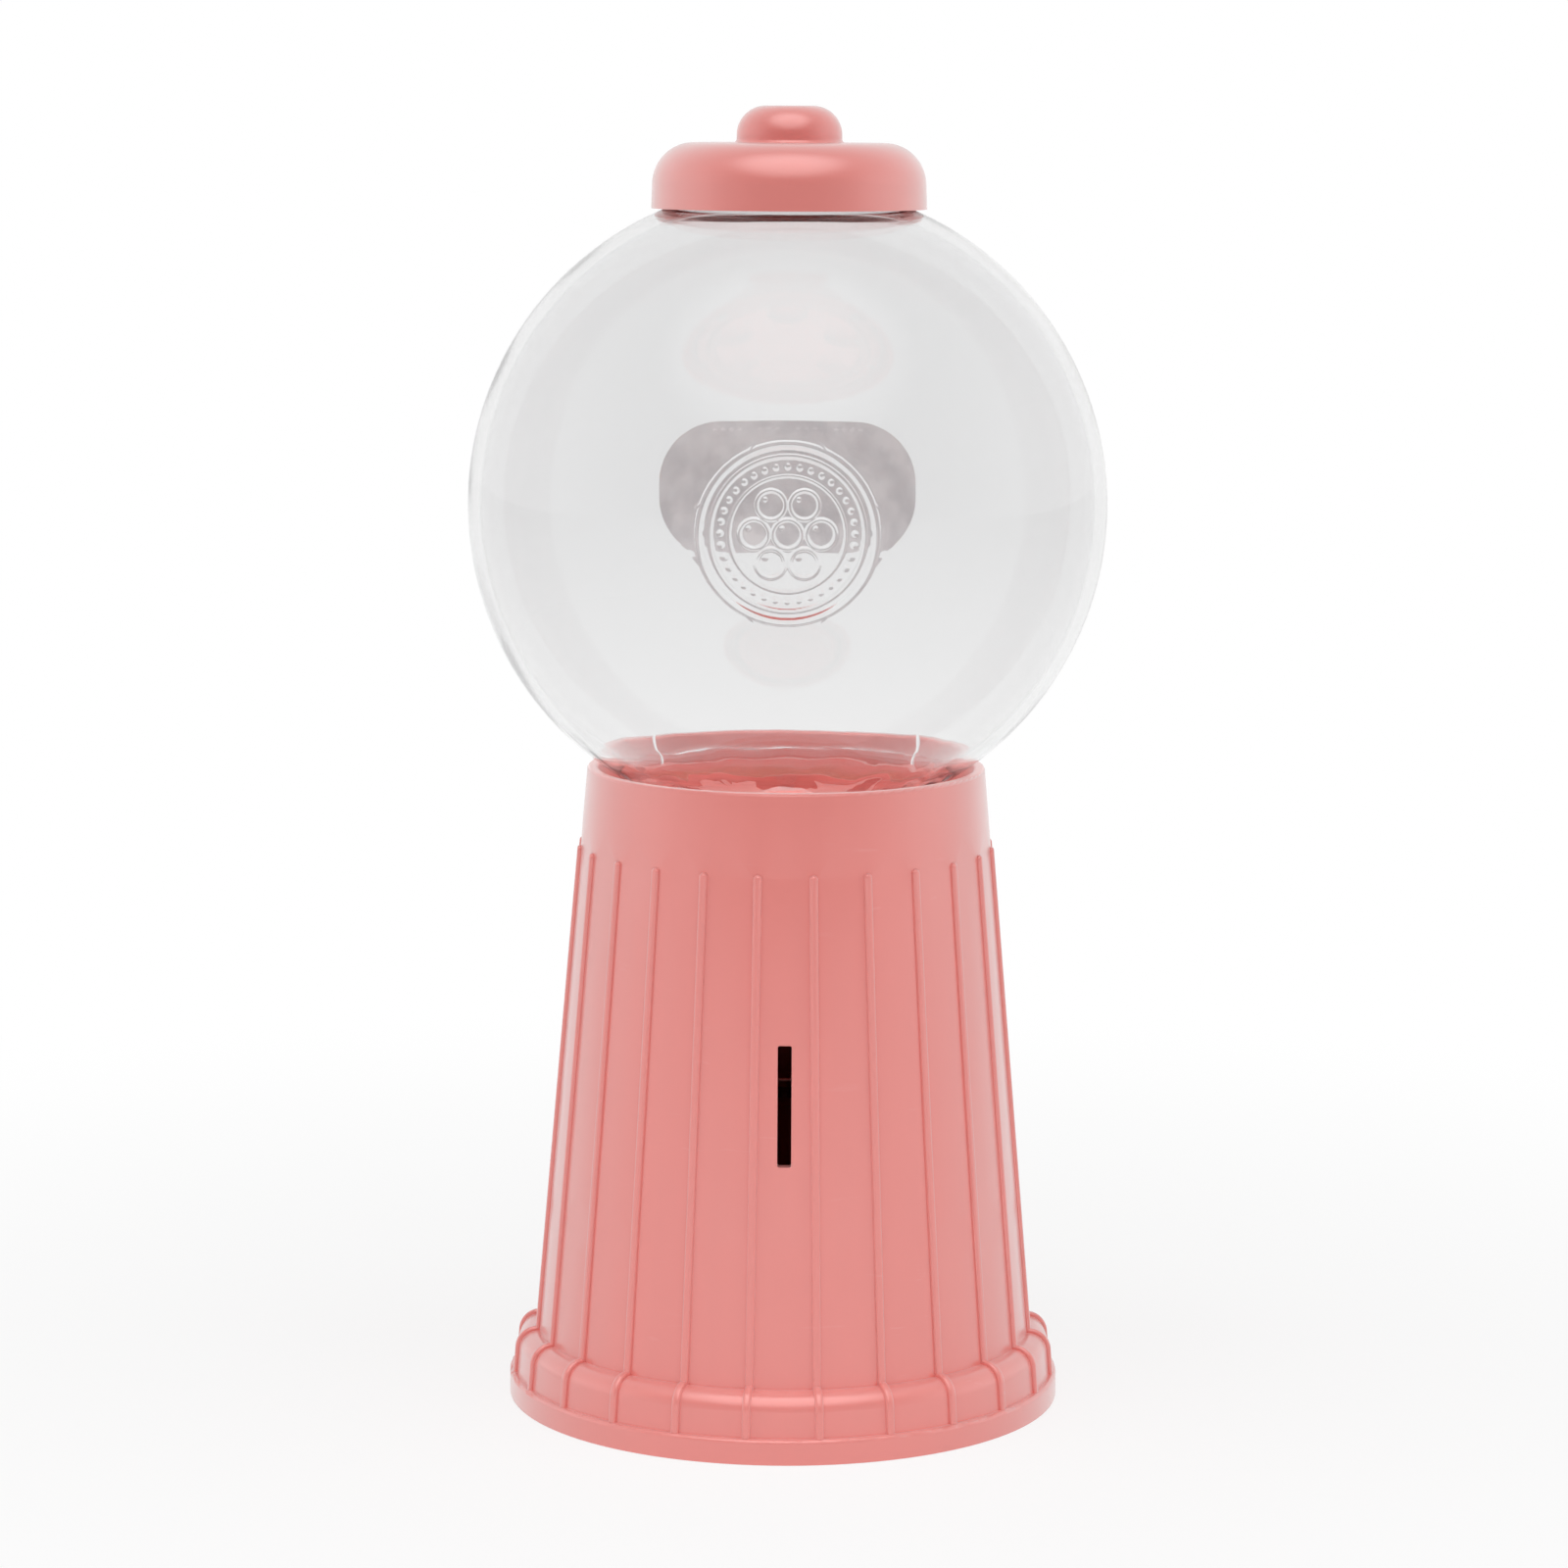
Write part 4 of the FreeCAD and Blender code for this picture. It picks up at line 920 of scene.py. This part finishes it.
def cross_screw(name, head_radius, head_height, shank_radius, length):
    """Pan-head screw with a cross recess, pointing down, with the underside of its head at the origin."""
    bpy.ops.object.select_all(action="DESELECT")
    bpy.ops.mesh.primitive_cylinder_add(vertices=head_sides, radius=head_radius, depth=head_height,
                                        location=(0, 0, head_height / 2))
    screw = start_piece(name)
    put_place_in_mesh()
    round_edges(screw, lambda a, b: min(a.z, b.z) > head_height - touching, head_height * rim_round)

    def on_top(middle, normal):
        return normal.z > square_on and middle.z > head_height - touching

    arm, half = head_radius * arm_reach, head_radius * arm_half_width
    for place in (-arm, -half, half, arm):
        for axis in ((1, 0, 0), (0, 1, 0)):
            pick(screw, "FACE", on_top)
            bpy.ops.mesh.bisect(plane_co=[place * c for c in axis], plane_no=axis)
    pick(screw, "FACE", lambda m, n: on_top(m, n) and (
        (abs(m.x) < half and abs(m.y) < arm) or (abs(m.y) < half and abs(m.x) < arm)))
    extrude((0, 0, -head_height * recess_depth))
    taper(recess_taper)
    pick(screw, "FACE", lambda m, n: n.z < -square_on and m.z < touching)
    bpy.ops.mesh.inset(thickness=head_radius - shank_radius)
    extrude((0, 0, -length * (1 - point_share)))
    extrude((0, 0, -length * point_share))
    taper(point_taper)
    merge_and_turn_out(threshold=1e-7)
    return screw


print("screw maker ready")

# %% Set of screws
turn_from_one_to_next = 0.7


def set_screws(name, screw, places, turn, body, node):
    """Copies of a screw, turned and set in their places, joined into one piece that stands for a node."""
    copies = []
    for place in places:
        bpy.ops.object.select_all(action="DESELECT")
        screw.select_set(True)
        bpy.context.view_layer.objects.active = screw
        bpy.ops.object.duplicate(linked=False)
        copy = bpy.context.object
        own_turn = Matrix.Rotation(len(copies) * turn_from_one_to_next, 4, "Z")
        copy.matrix_world = Matrix.Translation(place) @ turn @ own_turn
        copies.append(copy)
    bpy.ops.object.select_all(action="DESELECT")
    for copy in copies:
        copy.select_set(True)
    bpy.context.view_layer.objects.active = copies[0]
    put_place_in_mesh()
    if len(copies) > 1:
        bpy.ops.object.join()
    piece = start_piece(name)
    piece.data.materials.append(zinc)
    finished(piece, sharp_above=35)
    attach(piece, body)
    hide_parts(node)


def ring_places(radius, degrees, height):
    """Points on a circle about the machine's axis."""
    return [Vector((radius * math.cos(math.radians(d)), radius * math.sin(math.radians(d)), height))
            for d in degrees]


print("screw setter ready")

# %% Screws of the underside, the hopper and the handle
pan_radius, pan_height = 0.0026, 0.0016
small_radius, small_height = 0.0022, 0.0014
cover_degrees = (45, 135, 225, 315)
hopper_degrees = (0, 180, 270, 55, 125)
head_down = Matrix.Rotation(math.pi, 4, "X")
head_up = Matrix.Identity(4)
head_to_front = Matrix.Rotation(-math.pi / 2, 4, "X")

pan_screw = cross_screw("pan_screw", pan_radius, pan_height, shank_radius=0.0013, length=0.009)
under_low, under_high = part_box("cover_screws")
under_radius = (under_high.x - pan_radius) / math.cos(math.radians(cover_degrees[0]))
under_places = ring_places(under_radius, cover_degrees, under_low.z + pan_height)
set_screws("cover_screw_set", pan_screw, under_places, head_down, "base", "cover_screws")
hopper_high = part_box("hopper_screws")[1]
hopper_radius = hopper_high.x - pan_radius
hopper_places = ring_places(hopper_radius, hopper_degrees, hopper_high.z - pan_height)
set_screws("hopper_screw_set", pan_screw, hopper_places, head_up, "base", "hopper_screws")
knob_low, knob_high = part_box("knob_screw")
small_screw = cross_screw("small_screw", small_radius, small_height, shank_radius=0.001, length=0.008)
knob_place = Vector((0, knob_high.y - small_height, (knob_low.z + knob_high.z) / 2))
set_screws("knob_screw_set", small_screw, [knob_place], head_to_front, "crank", "knob_screw")
for pattern in (pan_screw, small_screw):
    bpy.data.objects.remove(pattern)
print("screws on a ring of", round(under_radius, 4), "and", round(hopper_radius, 4))

# %% [markdown]
# ## Size
# Dressing a part must not change its size; the frame's box is printed below.

# %% Print the frame box
print("frame box", [round(v, 4) for p in cad_box for v in p])
